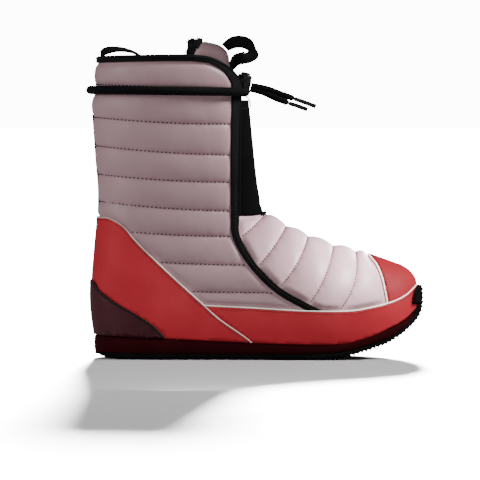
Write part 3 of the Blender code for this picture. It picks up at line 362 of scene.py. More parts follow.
class Skin:
    """Patch of the last's surface in a bmesh that knows which way is outwards."""

    def __init__(self, pitch: float, rings: tuple[float, float] = (0.0, 24.0)) -> None:
        """Makes the patch between two rings.

        Args:
            pitch: Size of its faces.
            rings: First and last ring.
        """
        rows = LAST.rows(rings[0], rings[1], pitch)
        columns = int(0.33 / pitch) // 2 * 2
        angles = LAST.angles(rows, columns)
        places = LAST.place(np.repeat(rows[:, None], columns + 1, 1), angles)
        self.bm = bmesh.new()
        uv = self.add_layers()
        for vert, column, row in grid(self.bm, columns, len(rows) - 1):
            for loop in vert.link_loops:
                loop[uv].uv = (column * pitch, row * pitch)
            vert.co = places[row, column]
        bmesh.ops.remove_doubles(self.bm, verts=self.bm.verts, dist=1e-6)
        bmesh.ops.dissolve_degenerate(self.bm, dist=1e-7, edges=self.bm.edges)
        bmesh.ops.recalc_face_normals(self.bm, faces=self.bm.faces)
        outermost = min(self.bm.faces, key=lambda face: face.calc_center_median().y)
        if outermost.normal.y > 0:
            bmesh.ops.reverse_faces(self.bm, faces=self.bm.faces)
        self.face_outwards()

    def add_layers(self) -> bmesh.types.BMLayerItem:
        """Adds the layers that a patch needs, and returns its UV layer."""
        self.mark = self.bm.verts.layers.float.new("field")
        self.outwards = self.bm.verts.layers.float_vector.new("outwards")
        return self.bm.loops.layers.uv.new("UVMap")

    def face_outwards(self) -> None:
        """Takes the normals of the corners as their outward directions."""
        self.bm.normal_update()
        for vert in self.bm.verts:
            vert[self.outwards] = vert.normal

    def places(self) -> Array:
        """Places of all corners."""
        return np.array([vert.co for vert in self.bm.verts])

    def shift(self, distances: Array | float) -> None:
        """Moves the corners outwards by one distance or by one each."""
        moves = np.broadcast_to(distances, len(self.bm.verts))
        for vert, move in zip(self.bm.verts, moves):
            vert.co += vert[self.outwards].normalized() * float(move)

    def score(self, area: Field) -> None:
        """Cuts the patch along field = 0, slides near corners onto the cut and marks them all."""
        bm, mark, outwards = self.bm, self.mark, self.outwards
        bm.verts.index_update()
        bm.edges.ensure_lookup_table()
        values = area(self.places())
        for vert, value in zip(bm.verts, values.tolist()):
            vert[mark] = value
        pairs = np.array([[vert.index for vert in edge.verts] for edge in bm.edges])
        found = np.nonzero(values[pairs[:, 0]] * values[pairs[:, 1]] < 0)[0]
        crossed = [bm.edges[i] for i in found.tolist()]
        slides: dict = {}
        for edge in crossed:
            near, other = sorted(edge.verts, key=lambda vert: abs(vert[mark]))
            part = near[mark] / (near[mark] - other[mark])
            free = edge.is_boundary or not near.is_boundary
            if part < 0.42 and free and part < slides.get(near, (1.0,))[0]:
                slides[near] = (part, near.co.lerp(other.co, part),
                                near[outwards].lerp(other[outwards], part))
        for vert, (_, place, direction) in slides.items():
            vert.co, vert[outwards], vert[mark] = place, direction, 0.0
        touched = dict.fromkeys(slides)
        for edge in crossed:
            first, second = edge.verts
            if first[mark] * second[mark] < 0:
                part = first[mark] / (first[mark] - second[mark])
                cut = bmesh.utils.edge_split(edge, first, part)[1]
                cut[mark] = 0.0
                touched[cut] = None
        for face in dict.fromkeys(face for vert in touched for face in vert.link_faces):
            zeros = [vert for vert in face.verts if vert[mark] == 0]
            signs = {vert[mark] > 0 for vert in face.verts if vert[mark] != 0}
            if len(zeros) == 2 and len(signs) == 2:
                bmesh.utils.face_split(face, zeros[0], zeros[1])

    def trim(self, *areas: Field) -> "Skin":
        """Keeps the part of the patch where each field is above 0, and returns the patch."""
        for area in areas:
            self.score(area)
            lost = [face for face in self.bm.faces
                    if sum(vert[self.mark] for vert in face.verts) <= 0]
            bmesh.ops.delete(self.bm, geom=lost, context="FACES")
            loose = [vert for vert in self.bm.verts if not vert.link_faces]
            bmesh.ops.delete(self.bm, geom=loose, context="VERTS")
        return self

    def trace(self, area: Field) -> list[tuple[Array, Array]]:
        """Lines on the patch where a field passes 0.

        Args:
            area: The field.

        Returns:
            For each line its points and their outward directions.
        """
        self.score(area)
        edges = [edge for edge in self.bm.edges
                 if edge.verts[0][self.mark] == 0 and edge.verts[1][self.mark] == 0]
        return [(np.array([vert.co for vert in line]),
                 np.array([vert[self.outwards].normalized() for vert in line]))
                for line in chains(edges)]

    def copy(self) -> "Skin":
        """A copy of the patch."""
        made = object.__new__(Skin)
        made.bm = self.bm.copy()
        made.outwards = made.bm.verts.layers.float_vector["outwards"]
        made.mark = made.bm.verts.layers.float["field"]
        return made


def chains(edges: Sequence) -> list[list]:
    """Orders edges to lines of corners.

    Args:
        edges: Edges of a bmesh.

    Returns:
        The lines, open ones first walked from an end.
    """
    links: dict = {}
    for edge in edges:
        for vert in edge.verts:
            links.setdefault(vert, []).append(edge)
    left = set(edges)
    made = []
    for start in sorted(links, key=lambda vert: (len(links[vert]) != 1, vert.index)):
        if not any(edge in left for edge in links[start]):
            continue
        line, here = [start], start
        while True:
            step = next((edge for edge in links[here] if edge in left), None)
            if step is None:
                break
            left.discard(step)
            here = step.other_vert(here)
            line.append(here)
        if len(line) > 2:
            made.append(line)
    return made


def grid(bm: bmesh.types.BMesh, columns: int,
         rows: int) -> list[tuple[bmesh.types.BMVert, int, int]]:
    """Starts a bmesh with a grid of faces.

    Args:
        bm: A bmesh with its layers and no faces.
        columns: Faces along it.
        rows: Faces across it.

    Returns:
        Each corner with its column and row.
    """
    bmesh.ops.create_grid(bm, x_segments=columns, y_segments=rows, size=1)
    return [(vert, round((vert.co.x + 1) / 2 * columns), round((vert.co.y + 1) / 2 * rows))
            for vert in bm.verts]


def linked(name: str, data: bpy.types.ID) -> bpy.types.Object:
    """New object in the scene."""
    made = bpy.data.objects.new(name, data)
    bpy.context.scene.collection.objects.link(made)
    return made


def stamp(bm: bmesh.types.BMesh, template: bpy.types.Mesh, move: Matrix) -> None:
    """Adds a moved copy of a small mesh."""
    template.transform(move)
    bm.from_mesh(template)
    template.transform(move.inverted())


def upright(run: Vector) -> Matrix:
    """Turn that points +Z along a direction."""
    return run.to_track_quat("Z", "Y").to_matrix().to_4x4()


class Socket(Enum):
    """Kinds of socket on a node group."""

    VALUE = "NodeSocketFloat"
    COLOUR = "NodeSocketColor"
    VECTOR = "NodeSocketVector"


class Wiring:
    """Adds and joins the nodes of one tree."""

    def __init__(self, tree: bpy.types.NodeTree) -> None:
        """Starts with the tree's nodes cleared."""
        self.tree = tree
        tree.nodes.clear()

    def node(self, kind: str, inputs: dict | None = None, **settings: object) -> bpy.types.Node:
        """Adds a node.

        Args:
            kind: Its type, without the ShaderNode in front.
            inputs: Values or sockets by input, named or numbered.
            settings: Its properties.

        Returns:
            The node.
        """
        made = self.tree.nodes.new(kind if kind.startswith("Node") else "ShaderNode" + kind)
        for key, value in settings.items():
            setattr(made, key, value)
        for key, value in (inputs or {}).items():
            if isinstance(value, bpy.types.NodeSocket):
                self.tree.links.new(value, made.inputs[key])
            else:
                made.inputs[key].default_value = value
        return made

    def math(self, operation: str, *values: object) -> bpy.types.NodeSocket:
        """Output of a Math node on the values."""
        return self.node("Math", dict(enumerate(values)), operation=operation).outputs[0]

    def noise(self, vector: object, scale: float, detail: float = 3.0) -> bpy.types.NodeSocket:
        """Value of a Noise texture."""
        return self.node("TexNoise", {"Vector": vector, "Scale": scale,
                                      "Detail": detail}).outputs["Fac"]

    def ramp(self, value: object, low: float, high: float) -> bpy.types.NodeSocket:
        """Value that rises smoothly from 0 at low to 1 at high."""
        return self.node("MapRange", {0: value, 1: low, 2: high},
                         interpolation_type="SMOOTHSTEP").outputs[0]

    def group(self, tree: bpy.types.NodeTree, inputs: dict) -> bpy.types.NodeOutputs:
        """Outputs of a node group with its inputs set."""
        return self.node("Group", inputs, node_tree=tree).outputs

    def stretched(self, vector: object, scale: tuple[float, float, float]) -> bpy.types.NodeSocket:
        """Coordinates stretched by a scale on each axis."""
        return self.node("Mapping", {"Vector": vector, "Scale": scale}).outputs[0]

    def mix(self, share: object, first: object, second: object) -> bpy.types.NodeSocket:
        """Mix of two colours."""
        return self.node("Mix", {0: share, 6: first, 7: second}, data_type="RGBA").outputs[2]


class Effects:
    """Node groups that several finishes share."""

    @staticmethod
    def group(name: str, inputs: dict[str, Socket], outputs: dict[str, Socket]) -> Wiring | None:
        """Starts a group, or returns nothing if it is there already."""
        if name in bpy.data.node_groups:
            return None
        tree = bpy.data.node_groups.new(name, "ShaderNodeTree")
        wiring = Wiring(tree)
        for label, kind in inputs.items():
            tree.interface.new_socket(label, in_out="INPUT", socket_type=kind.value)
        for label, kind in outputs.items():
            tree.interface.new_socket(label, in_out="OUTPUT", socket_type=kind.value)
        return wiring

    @staticmethod
    def mottle() -> bpy.types.NodeTree:
        """Slow change of colour over a piece, with a fine fleck in it."""
        wiring = Effects.group("mottle", {"Vector": Socket.VECTOR, "Colour": Socket.COLOUR,
                                          "Shade": Socket.COLOUR, "Size": Socket.VALUE},
                               {"Colour": Socket.COLOUR, "Mask": Socket.VALUE})
        if wiring:
            given = wiring.node("NodeGroupInput").outputs
            scale = wiring.math("DIVIDE", 1.0, given["Size"])
            broad = wiring.node("TexNoise", {"Vector": given["Vector"], "Scale": scale,
                                             "Detail": 4.0}).outputs[0]
            fleck = wiring.noise(given["Vector"], 2200.0, 2.0)
            mask = wiring.math("ADD", wiring.math("MULTIPLY", broad, 0.8),
                               wiring.math("MULTIPLY", fleck, 0.2))
            mask = wiring.ramp(mask, 0.35, 0.65)
            wiring.node("NodeGroupOutput",
                        {"Colour": wiring.mix(mask, given["Colour"], given["Shade"]),
                                            "Mask": mask})
        return bpy.data.node_groups["mottle"]

    @staticmethod
    def pebble() -> bpy.types.NodeTree:
        """Height of a leather or rubber grain."""
        wiring = Effects.group("pebble", {"Vector": Socket.VECTOR, "Size": Socket.VALUE},
                               {"Height": Socket.VALUE})
        if wiring:
            given = wiring.node("NodeGroupInput").outputs
            scale = wiring.math("DIVIDE", 1.0, given["Size"])
            bent = wiring.node("TexNoise", {"Vector": given["Vector"], "Scale": scale,
                                            "Detail": 2.0}).outputs[0]
            cells = wiring.node("TexVoronoi", {"Vector": given["Vector"], "Scale": scale,
                                               "Smoothness": 0.6},
                                feature="SMOOTH_F1").outputs["Distance"]
            height = wiring.math("ADD", wiring.math("MULTIPLY", cells, -0.7),
                                 wiring.math("MULTIPLY", bent, 0.5))
            wiring.node("NodeGroupOutput", {"Height": height})
        return bpy.data.node_groups["pebble"]

    @staticmethod
    def weave() -> bpy.types.NodeTree:
        """Height of crossing threads in the first two coordinates, in threads a metre."""
        wiring = Effects.group("weave", {"Vector": Socket.VECTOR, "Rate": Socket.VALUE,
                                         "Slant": Socket.VALUE},
                               {"Height": Socket.VALUE})
        if wiring:
            given = wiring.node("NodeGroupInput").outputs
            parts = wiring.node("SeparateXYZ", {0: given["Vector"]}).outputs
            along = wiring.math("MULTIPLY", parts[0],
                                wiring.math("MULTIPLY", given["Rate"], 2 * math.pi))
            across = wiring.math("MULTIPLY", parts[1],
                                 wiring.math("MULTIPLY", given["Rate"], 2 * math.pi))
            first = wiring.math("ADD", along, wiring.math("MULTIPLY", across, given["Slant"]))
            second = wiring.math("SUBTRACT", across, wiring.math("MULTIPLY", along, given["Slant"]))
            height = wiring.math("MULTIPLY", wiring.math("SINE", first),
                                 wiring.math("SINE", second))
            wiring.node("NodeGroupOutput",
                        {"Height": wiring.math("MULTIPLY_ADD", height, 0.5, 0.5)})
        return bpy.data.node_groups["weave"]


class Surface(Enum):
    """How a finish is made up close."""

    QUILT = "quilt"
    LEATHER = "leather"
    RUBBER = "rubber"
    RIB = "rib"
    WEAVE = "weave"
    BRAID = "braid"
    PILE = "pile"
    SMOOTH = "smooth"


@dataclass(frozen=True)
class Finish:
    """One finish of the boot: its colours, gloss and the relief of its surface."""

    name: str
    slot: str
    surface: Surface
    colour: tuple[float, float, float]
    shade: tuple[float, float, float]
    roughness: float
    grain: float = 0.001
    depth: float = 0.00005
    patch: float = 0.03
    sheen: float = 0.0
    specular: float = 0.5

    def relief(self, wiring: Wiring, spot: bpy.types.NodeSocket,
               strip: bpy.types.NodeSocket) -> bpy.types.NodeSocket:
        """Height of the finish's relief, in depths.

        Args:
            wiring: The material's tree.
            spot: Object coordinates.
            strip: UV coordinates, in metres along and across.

        Returns:
            The height.
        """
        if self.surface in (Surface.LEATHER, Surface.RUBBER):
            return wiring.group(Effects.pebble(), {"Vector": spot, "Size": self.grain})["Height"]
        if self.surface in (Surface.WEAVE, Surface.BRAID):
            slant = 1.0 if self.surface is Surface.BRAID else 0.25
            return wiring.group(Effects.weave(), {"Vector": strip, "Rate": 1 / self.grain,
                                                  "Slant": slant})["Height"]
        if self.surface is Surface.RIB:
            parts = wiring.node("SeparateXYZ", {0: strip}).outputs
            ribs = wiring.math("SINE", wiring.math("MULTIPLY", parts[0], 2 * math.pi / self.grain))
            rows = wiring.math("SINE", wiring.math("MULTIPLY", parts[1], 2 * math.pi / self.grain))
            return wiring.math("ADD", ribs, wiring.math("MULTIPLY", rows, 0.3))
        if self.surface is Surface.QUILT:
            fine = wiring.noise(spot, 1 / self.grain, 2.0)
            tension = wiring.noise(wiring.stretched(spot, (150.0, 150.0, 45.0)), 1.0, 2.0)
            near = wiring.node("Attribute", {}, attribute_name="near_seam").outputs["Fac"]
            drawn = wiring.math("MULTIPLY", tension, wiring.math("MULTIPLY", near, 7.0))
            broad = wiring.math("MULTIPLY", wiring.noise(spot, 38.0, 2.0), 5.0)
            return wiring.math("ADD", fine, wiring.math("ADD", drawn, broad))
        if self.surface is Surface.PILE:
            return wiring.noise(spot, 1 / self.grain, 5.0)
        return wiring.noise(spot, 1 / self.grain, 3.0)

    def build(self) -> bpy.types.Material:
        """The material, made once."""
        if self.name in bpy.data.materials:
            return bpy.data.materials[self.name]
        made = bpy.data.materials.new(self.name)
        made.use_nodes = True
        wiring = Wiring(made.node_tree)
        coordinates = wiring.node("TexCoord").outputs
        spot, strip = coordinates["Object"], coordinates["UV"]
        mottle = wiring.group(Effects.mottle(), {"Vector": spot, "Colour": (*self.colour, 1),
                                                 "Shade": (*self.shade, 1), "Size": self.patch})
        height = self.relief(wiring, spot, strip)
        colour = mottle["Colour"]
        # Painted shade: where the relief is low, the colour is mixed toward 0.35 of the finish's
        # colour, as if the hollows between threads, ribs and pile were in shadow.
        if self.surface in (Surface.WEAVE, Surface.BRAID, Surface.RIB, Surface.PILE):
            dark = tuple(0.35 * value for value in self.colour)
            colour = wiring.mix(wiring.ramp(height, 0.1, 0.8), (*dark, 1), colour)
        rough = wiring.math("MULTIPLY_ADD", mottle["Mask"], 0.10, self.roughness - 0.05)
        bump = wiring.node("Bump", {"Height": height, "Distance": self.depth, "Strength": 1.0})
        shader = wiring.node("BsdfPrincipled", {
            "Base Color": colour, "Roughness": rough, "Normal": bump.outputs[0],
            "Sheen Weight": self.sheen, "Sheen Roughness": 0.4,
                                                "Specular IOR Level": self.specular})
        wiring.node("OutputMaterial", {"Surface": shader.outputs[0]})
        return made


QUILT = Finish("pale_pink_nylon", "upper", Surface.QUILT, (0.700, 0.445, 0.490),
               (0.660, 0.415, 0.455), 0.45, grain=0.0005, depth=0.00003)
CORAL = Finish("coral_red_leather", "overlay", Surface.LEATHER, (0.720, 0.042, 0.060),
               (0.670, 0.036, 0.052), 0.52, grain=0.0009, depth=0.00004, specular=0.16)
MAROON = Finish("maroon_leather", "counter", Surface.LEATHER, (0.105, 0.018, 0.028),
                (0.090, 0.015, 0.023), 0.5, grain=0.0009, depth=0.00004, specular=0.3)
BINDING = Finish("black_binding", "binding", Surface.WEAVE, (0.006, 0.0065, 0.0065),
                 (0.0045, 0.005, 0.005), 0.62, grain=0.0007, depth=0.00006, specular=0.15)
ELASTIC = Finish("black_elastic", "gusset", Surface.RIB, (0.0050, 0.0056, 0.0053),
                 (0.0040, 0.0045, 0.0042), 0.9, grain=0.0012, depth=0.00008, specular=0.10)
PALE_EDGE = Finish("pale_edge_cord", "overlay", Surface.SMOOTH, (0.88, 0.83, 0.74),
                   (0.76, 0.72, 0.64), 0.5)
BLACK_EDGE = Finish("black_edge_cord", "counter", Surface.SMOOTH, (0.010, 0.010, 0.010),
                    (0.007, 0.007, 0.007), 0.5)
MAUVE_THREAD = Finish("mauve_thread", "upper", Surface.SMOOTH, (0.070, 0.032, 0.040),
                      (0.055, 0.025, 0.032), 0.7)
RED_THREAD = Finish("dark_red_thread", "overlay", Surface.SMOOTH, (0.220, 0.005, 0.010),
                    (0.18, 0.004, 0.008), 0.7)
BLACK_THREAD = Finish("black_thread", "binding", Surface.SMOOTH, (0.030, 0.030, 0.030),
                      (0.02, 0.02, 0.02), 0.7)
FUR = Finish("black_fur", "fur", Surface.PILE, (0.016, 0.017, 0.018), (0.008, 0.008, 0.009), 0.9,
             grain=0.0012, depth=0.0006, sheen=0.2, specular=0.2)
WEBBING = Finish("black_webbing", "webbing", Surface.WEAVE, (0.006, 0.006, 0.0065),
                 (0.004, 0.004, 0.0045), 0.8, grain=0.0016, depth=0.00018, specular=0.15)
CORD = Finish("black_cord", "cord", Surface.BRAID, (0.006, 0.006, 0.007), (0.004, 0.004, 0.005),
              0.75, grain=0.0030, depth=0.00030, specular=0.15)
PLASTIC = Finish("black_plastic", "plastic", Surface.SMOOTH, (0.012, 0.012, 0.012),
                 (0.010, 0.010, 0.010), 0.28)
FOAM = Finish("maroon_foam", "midsole", Surface.RUBBER, (0.040, 0.0004, 0.003),
              (0.032, 0.0003, 0.0025), 0.75, grain=0.0010, depth=0.00004, specular=0.08)
TREAD = Finish("black_tread", "outsole", Surface.RUBBER, (0.006, 0.006, 0.006),
               (0.004, 0.004, 0.004), 0.8, grain=0.0008, depth=0.00004, specular=0.12)
FELT = Finish("black_felt", "insole", Surface.PILE, (0.012, 0.012, 0.013), (0.008, 0.008, 0.008),
              0.95, grain=0.0010, depth=0.0002, specular=0.2)


@dataclass(frozen=True)
class Stitch:
    """Sizes of a row of stitches."""

    pitch: float
    length: float
    radius: float
    lift: float


TRIM_STITCH = Stitch(0.0030, 0.0021, 0.0003, 0.0001)


class Assembly:
    """What every sub-assembly does with a finished bmesh."""

    def add(self, name: str, bm: bmesh.types.BMesh, finish: Finish,
            *nodes: str) -> bpy.types.Object:
        """Makes a piece of the boot.

        Args:
            name: Its name.
            bm: Its shape, which is freed.
            finish: Its finish.
            nodes: Solids of the frame that it stands for.

        Returns:
            The piece.
        """
        mesh = bpy.data.meshes.new(name)
        bm.to_mesh(mesh)
        bm.free()
        piece = linked(name, mesh)
        mesh.materials.append(finish.build())
        mesh.shade_smooth()
        mesh.set_sharp_from_angle(angle=SHARP_ANGLE)
        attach(piece, BODY)
        if nodes:
            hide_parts(*nodes)
        logger.info("%s: %d faces", name, len(mesh.polygons))
        return piece

    def thicken(self, piece: bpy.types.Object, thickness: float, offset: float = -1.0,
                group: str = "") -> None:
        """Gives a piece made of one face a real wall."""
        wall = piece.modifiers.new("wall", "SOLIDIFY")
        wall.thickness = thickness
        wall.offset = offset
        wall.use_quality_normals = True
        if group:
            wall.vertex_group = group

    def tube(self, bm: bmesh.types.BMesh, line: Array, radius: tuple[float, float] | Array,
             sides: int = 10, outwards: Array | None = None) -> None:
        """Adds a round or oval tube along a line, with its length and girth as UV.

        Args:
            bm: Where it is added.
            line: Its centre line.
            radius: Half sizes outwards and across, one pair or one for each point.
            sides: Faces round it.
            outwards: Direction of the first radius at each point.
        """
        count = len(line)
        radii = np.broadcast_to(np.asarray(radius, float), (count, 2))
        run = np.gradient(line, axis=0)
        run /= np.linalg.norm(run, axis=1)[:, None] + 1e-12
        if outwards is None:
            out = np.zeros_like(line)
            first = np.cross(run[0], (0, 0, 1))
            first = first if np.linalg.norm(first) > 0.1 else np.cross(run[0], (0, 1, 0))
            for i in range(count):
                first = first - run[i] * (first @ run[i])
                first /= np.linalg.norm(first)
                out[i] = first
        else:
            out = outwards - run * np.sum(outwards * run, axis=1)[:, None]
            out /= np.linalg.norm(out, axis=1)[:, None] + 1e-12
        side = np.cross(run, out)
        travel = travelled(line)
        made = bmesh.new()
        uv = made.loops.layers.uv.new("UVMap")
        girth = 2 * math.pi * float(radii.mean())
        for vert, i, j in grid(made, count - 1, sides):
            angle = 2 * math.pi * j / sides
            for loop in vert.link_loops:
                loop[uv].uv = (travel[i], girth * j / sides)
            vert.co = line[i] + (out[i] * radii[i, 0] * math.cos(angle)
                                 + side[i] * radii[i, 1] * math.sin(angle))
        bmesh.ops.remove_doubles(made, verts=made.verts, dist=1e-6)
        ends = [edge for edge in made.edges if edge.is_boundary]
        bmesh.ops.holes_fill(made, edges=ends, sides=sides + 2)
        bmesh.ops.recalc_face_normals(made, faces=made.faces)
        mesh = bpy.data.meshes.new("tube")
        made.to_mesh(mesh)
        made.free()
        if not bm.loops.layers.uv:
            bm.loops.layers.uv.new("UVMap")
        bm.from_mesh(mesh)
        bpy.data.meshes.remove(mesh)

    def stitches(self, name: str, lines: Sequence[tuple[Array, Array]], stitch: Stitch,
                 thread: Finish) -> None:
        """Sews a row of stitches along each line.

        Args:
            name: Name of the piece that they make together.
            lines: Points and outward directions of each line.
            stitch: Size of the stitches, with their height over the line.
            thread: Finish of the thread.
        """
        template = bpy.data.meshes.new("stitch")
        seed = bmesh.new()
        bmesh.ops.create_uvsphere(seed, u_segments=6, v_segments=4, radius=1.0)
        bmesh.ops.scale(seed, verts=seed.verts, vec=(stitch.radius, stitch.radius,
                                                     stitch.length / 2))
        seed.to_mesh(template)
        seed.free()
        bm = bmesh.new()
        for points, outwards in lines:
            if len(points) < 3:
                continue
            both = evenly(np.hstack([points, outwards]), stitch.pitch)
            spots = soften(both[:, :3], 2)
            for i in range(1, len(spots) - 1):
                run = Vector(spots[i + 1] - spots[i - 1]).normalized()
                place = Vector(spots[i]) + Vector(both[i, 3:]).normalized() * stitch.lift
                stamp(bm, template, Matrix.Translation(place) @ upright(run))
        bpy.data.meshes.remove(template)
        self.add(name, bm, thread)


@dataclass(frozen=True)
class Seam:
    """Stitched seam between two side-view points, and how far the channel after it swells."""

    first: tuple[float, float]
    second: tuple[float, float]
    swell: float
    bulge: float = 0.0

    def past(self, places: Array) -> Array:
        """Distances past the seam."""
        first, second = LAST.side(*self.first), LAST.side(*self.second)
        run = (second - first) / np.linalg.norm(second - first)
        spots = places[:, [0, 2]] - first
        share = np.clip(spots @ run / np.linalg.norm(second - first) * 2 - 1, -1.4, 1.4)
        return spots @ np.array([-run[1], run[0]]) - self.bulge * (1 - share * share)


@dataclass(frozen=True)
class Quilting:
    """Channels of padding between seams."""

    seams: tuple[Seam, ...]
    puff: float
    direction: int
    crease: float = 0.0012
    seed: int = 1

    def swelling(self, places: Array) -> Array:
        """Height of the padding, from 0 on a seam, in metres."""
        past = [seam.past(places) * self.direction for seam in self.seams]
        total = np.zeros(len(places))
        for index, (low, high, seam) in enumerate(zip(past, past[1:], self.seams)):
            inside = (low >= 0) & (high < 0)
            share = np.where(inside, low / (low - high + 1e-9), 0)
            along = places[:, 0] + places[:, 1] * 0.6 + 0.013 * index
            lively = 1 + 0.08 * ripple(along, 0.034, self.seed + index)
            total += seam.swell * np.where(inside, (4 * share * (1 - share)) ** 0.70,
                                           0) * self.puff * lively
        return total

    def near(self, places: Array) -> Array:
        """Share from 1 on a seam to 0 away from it."""
        nearest = np.min([np.abs(seam.past(places)) for seam in self.seams], axis=0)
        return np.exp(-(nearest / 0.0045) ** 2)

    def score(self, skin: Skin) -> None:
        """Cuts a patch along each seam and both sides of its crease."""
        for seam in self.seams:
            if seam.swell or seam.bulge:
                for side in (0.0, -self.crease, self.crease):
                    skin.score(lambda places, seam=seam, side=side: seam.past(places) - side)


@dataclass
class Upper(Assembly):
    """Quilted shaft and vamp with their lining, binding and back strip."""

    pitch: float = 0.0017
    shell: float = 0.0032
    lining: float = 0.0016
    skin: float = 0.0020
    seam_fade: float = 0.0045
    piping: float = 0.0016
    strip: float = 0.0012
    strip_width: float = 0.010
    strip_ends: tuple[float, float] = (1.010, 1.630)
    roll: tuple[float, float] = (0.0043, 0.0021)
    rim_drop: float = 0.0018
    throat_front: float = 0.0885
    shaft_stitch: Stitch = Stitch(0.0036, 0.0020, 0.00052, 0.00075)
    vamp_stitch: Stitch = Stitch(0.0029, 0.0012, 0.00052, 0.00075)
    shaft: Quilting = Quilting((
        Seam((0.018, 0.310), (0.445, 0.270), 0.9),
        Seam((0.018, 0.512), (0.445, 0.465), 0.9, -0.0012),
        Seam((0.018, 0.707), (0.445, 0.653), 1.0, -0.0012),
        Seam((0.018, 0.906), (0.445, 0.849), 1.0, -0.0015),
        Seam((0.018, 1.086), (0.445, 1.022), 1.0, -0.0015),
        Seam((0.018, 1.257), (0.445, 1.204), 1.0, -0.0016),
        Seam((0.018, 1.435), (0.445, 1.375), 1.0, -0.0016),
        Seam((0.018, 1.613), (0.445, 1.569), 1.0, -0.0016),
        Seam((0.018, 1.755), (0.445, 1.722), 0.0),
        Seam((0.018, 1.820), (0.445, 1.785), 1.1, 0.00001),
        Seam((0.018, 1.965), (0.445, 1.965), 0.0)), 0.0024, 1, seed=11)
    vamp: Quilting = Quilting((
        Seam((0.458, 0.985), (0.545, 1.010), 0.5),
        Seam((0.463, 0.846), (0.536, 0.999), 1.0, -0.0010),
        Seam((0.524, 0.665), (0.596, 0.895), 1.0, -0.0008),
        Seam((0.588, 0.519), (0.664, 0.825), 1.0, -0.0022),
        Seam((0.673, 0.400), (0.743, 0.767), 1.0, -0.0027),
        Seam((0.771, 0.376), (0.813, 0.708), 0.9, -0.0040),
        Seam((0.903, 0.400), (0.851, 0.716), 0.0)), 0.0032, -1, seed=41)

    def __post_init__(self) -> None:
        """Settles the zones that are padded and the strip beside the throat."""
        self.foot = float(LAST.height(PATTERN.gusset_foot[0][1]))
        self.half = PATTERN.piping_width / 2

    def uncovered(self, places: Array) -> Array:
        """Distance from the overlays."""
        covers = [AREAS[name](places) for name in ("heel_wrap", "mudguard", "toe_cap")]
        return -np.max(covers, axis=0) - CLEARANCE

    def shaft_zone(self, places: Array) -> Array:
        """Distance inside the padded part of the shaft."""
        strip = np.where(places[:, 0] < 0,
                         np.abs(places[:, 1]) - self.strip_width / 2 - 2 * CLEARANCE, FAR)
        return np.minimum(np.minimum(self.uncovered(places), AREAS["quarter"](places) - self.half),
                          strip)

    def vamp_zone(self, places: Array) -> Array:
        """Distance inside the padded part of the vamp."""
        away = np.minimum(-AREAS["quarter"](places) - self.half, -AREAS["throat"](places))
        return np.minimum(self.uncovered(places), away)

    def past_rim(self, margin: float) -> Field:
        """Field outside the throat by a margin, and by the depth of the roll along the collar."""
        return lambda places: (-AREAS["throat"](places) - margin
                               - self.rim_drop * smooth_step(places[:, 2], 0.236, 0.250))

    def beside_throat(self, places: Array) -> Array:
        """Field of the band between the binding's middle and the edge of the throat."""
        return np.minimum(places[:, 2] - self.foot, self.throat_front - places[:, 0])

    def panel(self, name: str, quilting: Quilting, zone: Field, area: Field,
              rings: tuple[float, float],
              *nodes: str) -> None:
        """Makes one quilted panel.

        Args:
            name: Its name.
            quilting: Its channels.
            zone: Distance inside its padded part.
            area: Field of the panel.
            rings: Rings of the last that it lies between.
            nodes: Solids that it stands for.
        """
        skin = Skin(self.pitch, rings)
        skin.trim(beyond(AREAS["above_sole"], CLEARANCE), self.past_rim(0.0), area)
        quilting.score(skin)
        places = skin.places()
        inside = zone(places)
        fade = smooth_step(inside, 0, self.seam_fade)
        near = quilting.near(places) * (inside > 0)
        along = places[:, 0] * 0.7 + places[:, 1] + places[:, 2] * 0.15
        puckers = 0.00022 * near * ripple(along, 0.0075, quilting.seed + 90)
        skin.shift(quilting.swelling(places) * fade + puckers * fade)
        piece = self.add(name, skin.bm, QUILT, *nodes)
        layer = piece.data.attributes.new("near_seam", "FLOAT", "POINT")
        layer.data.foreach_set("value", near.astype(np.float32))
        self.thicken(piece, self.shell)

    def build_panels(self) -> None:
        """Shaft, vamp and lining."""
        self.panel("shaft", self.shaft, self.shaft_zone,
                   lambda places: np.maximum(AREAS["quarter"](places),
                                             self.beside_throat(places)) - 0.0002,
                   (3.0, 23.0), "upper")
        self.panel("vamp", self.vamp, self.vamp_zone,
                   lambda places: -np.maximum(AREAS["quarter"](places),
                                              self.beside_throat(places)) - 0.0002,
                   (1.0, 16.0))
        inner = Skin(0.0035)
        inner.shift(self.skin)
        inner.trim(beyond(AREAS["above_sole"], 0.001), self.past_rim(0.0004))
        inner.shift(-self.skin - self.shell - 0.0002)
        self.thicken(self.add("lining", inner.bm, FUR), self.lining)

    def build_seams(self, skin: Skin) -> None:
        """Stitches along every seam of the quilting.

        Args:
            skin: Plain patch of the last.
        """
        for name, quilting, zone, stitch in (("shaft", self.shaft, self.shaft_zone,
                                              self.shaft_stitch),
                                             ("vamp", self.vamp, self.vamp_zone, self.vamp_stitch)):
            base = skin.copy().trim(beyond(AREAS["above_sole"], 0.001), beyond(zone, 0.0004))
            lines = []
            for seam in quilting.seams:
                if seam.bulge:
                    lines += base.copy().trace(seam.past)
            self.stitches(name + "_stitches", lines, stitch, MAUVE_THREAD)

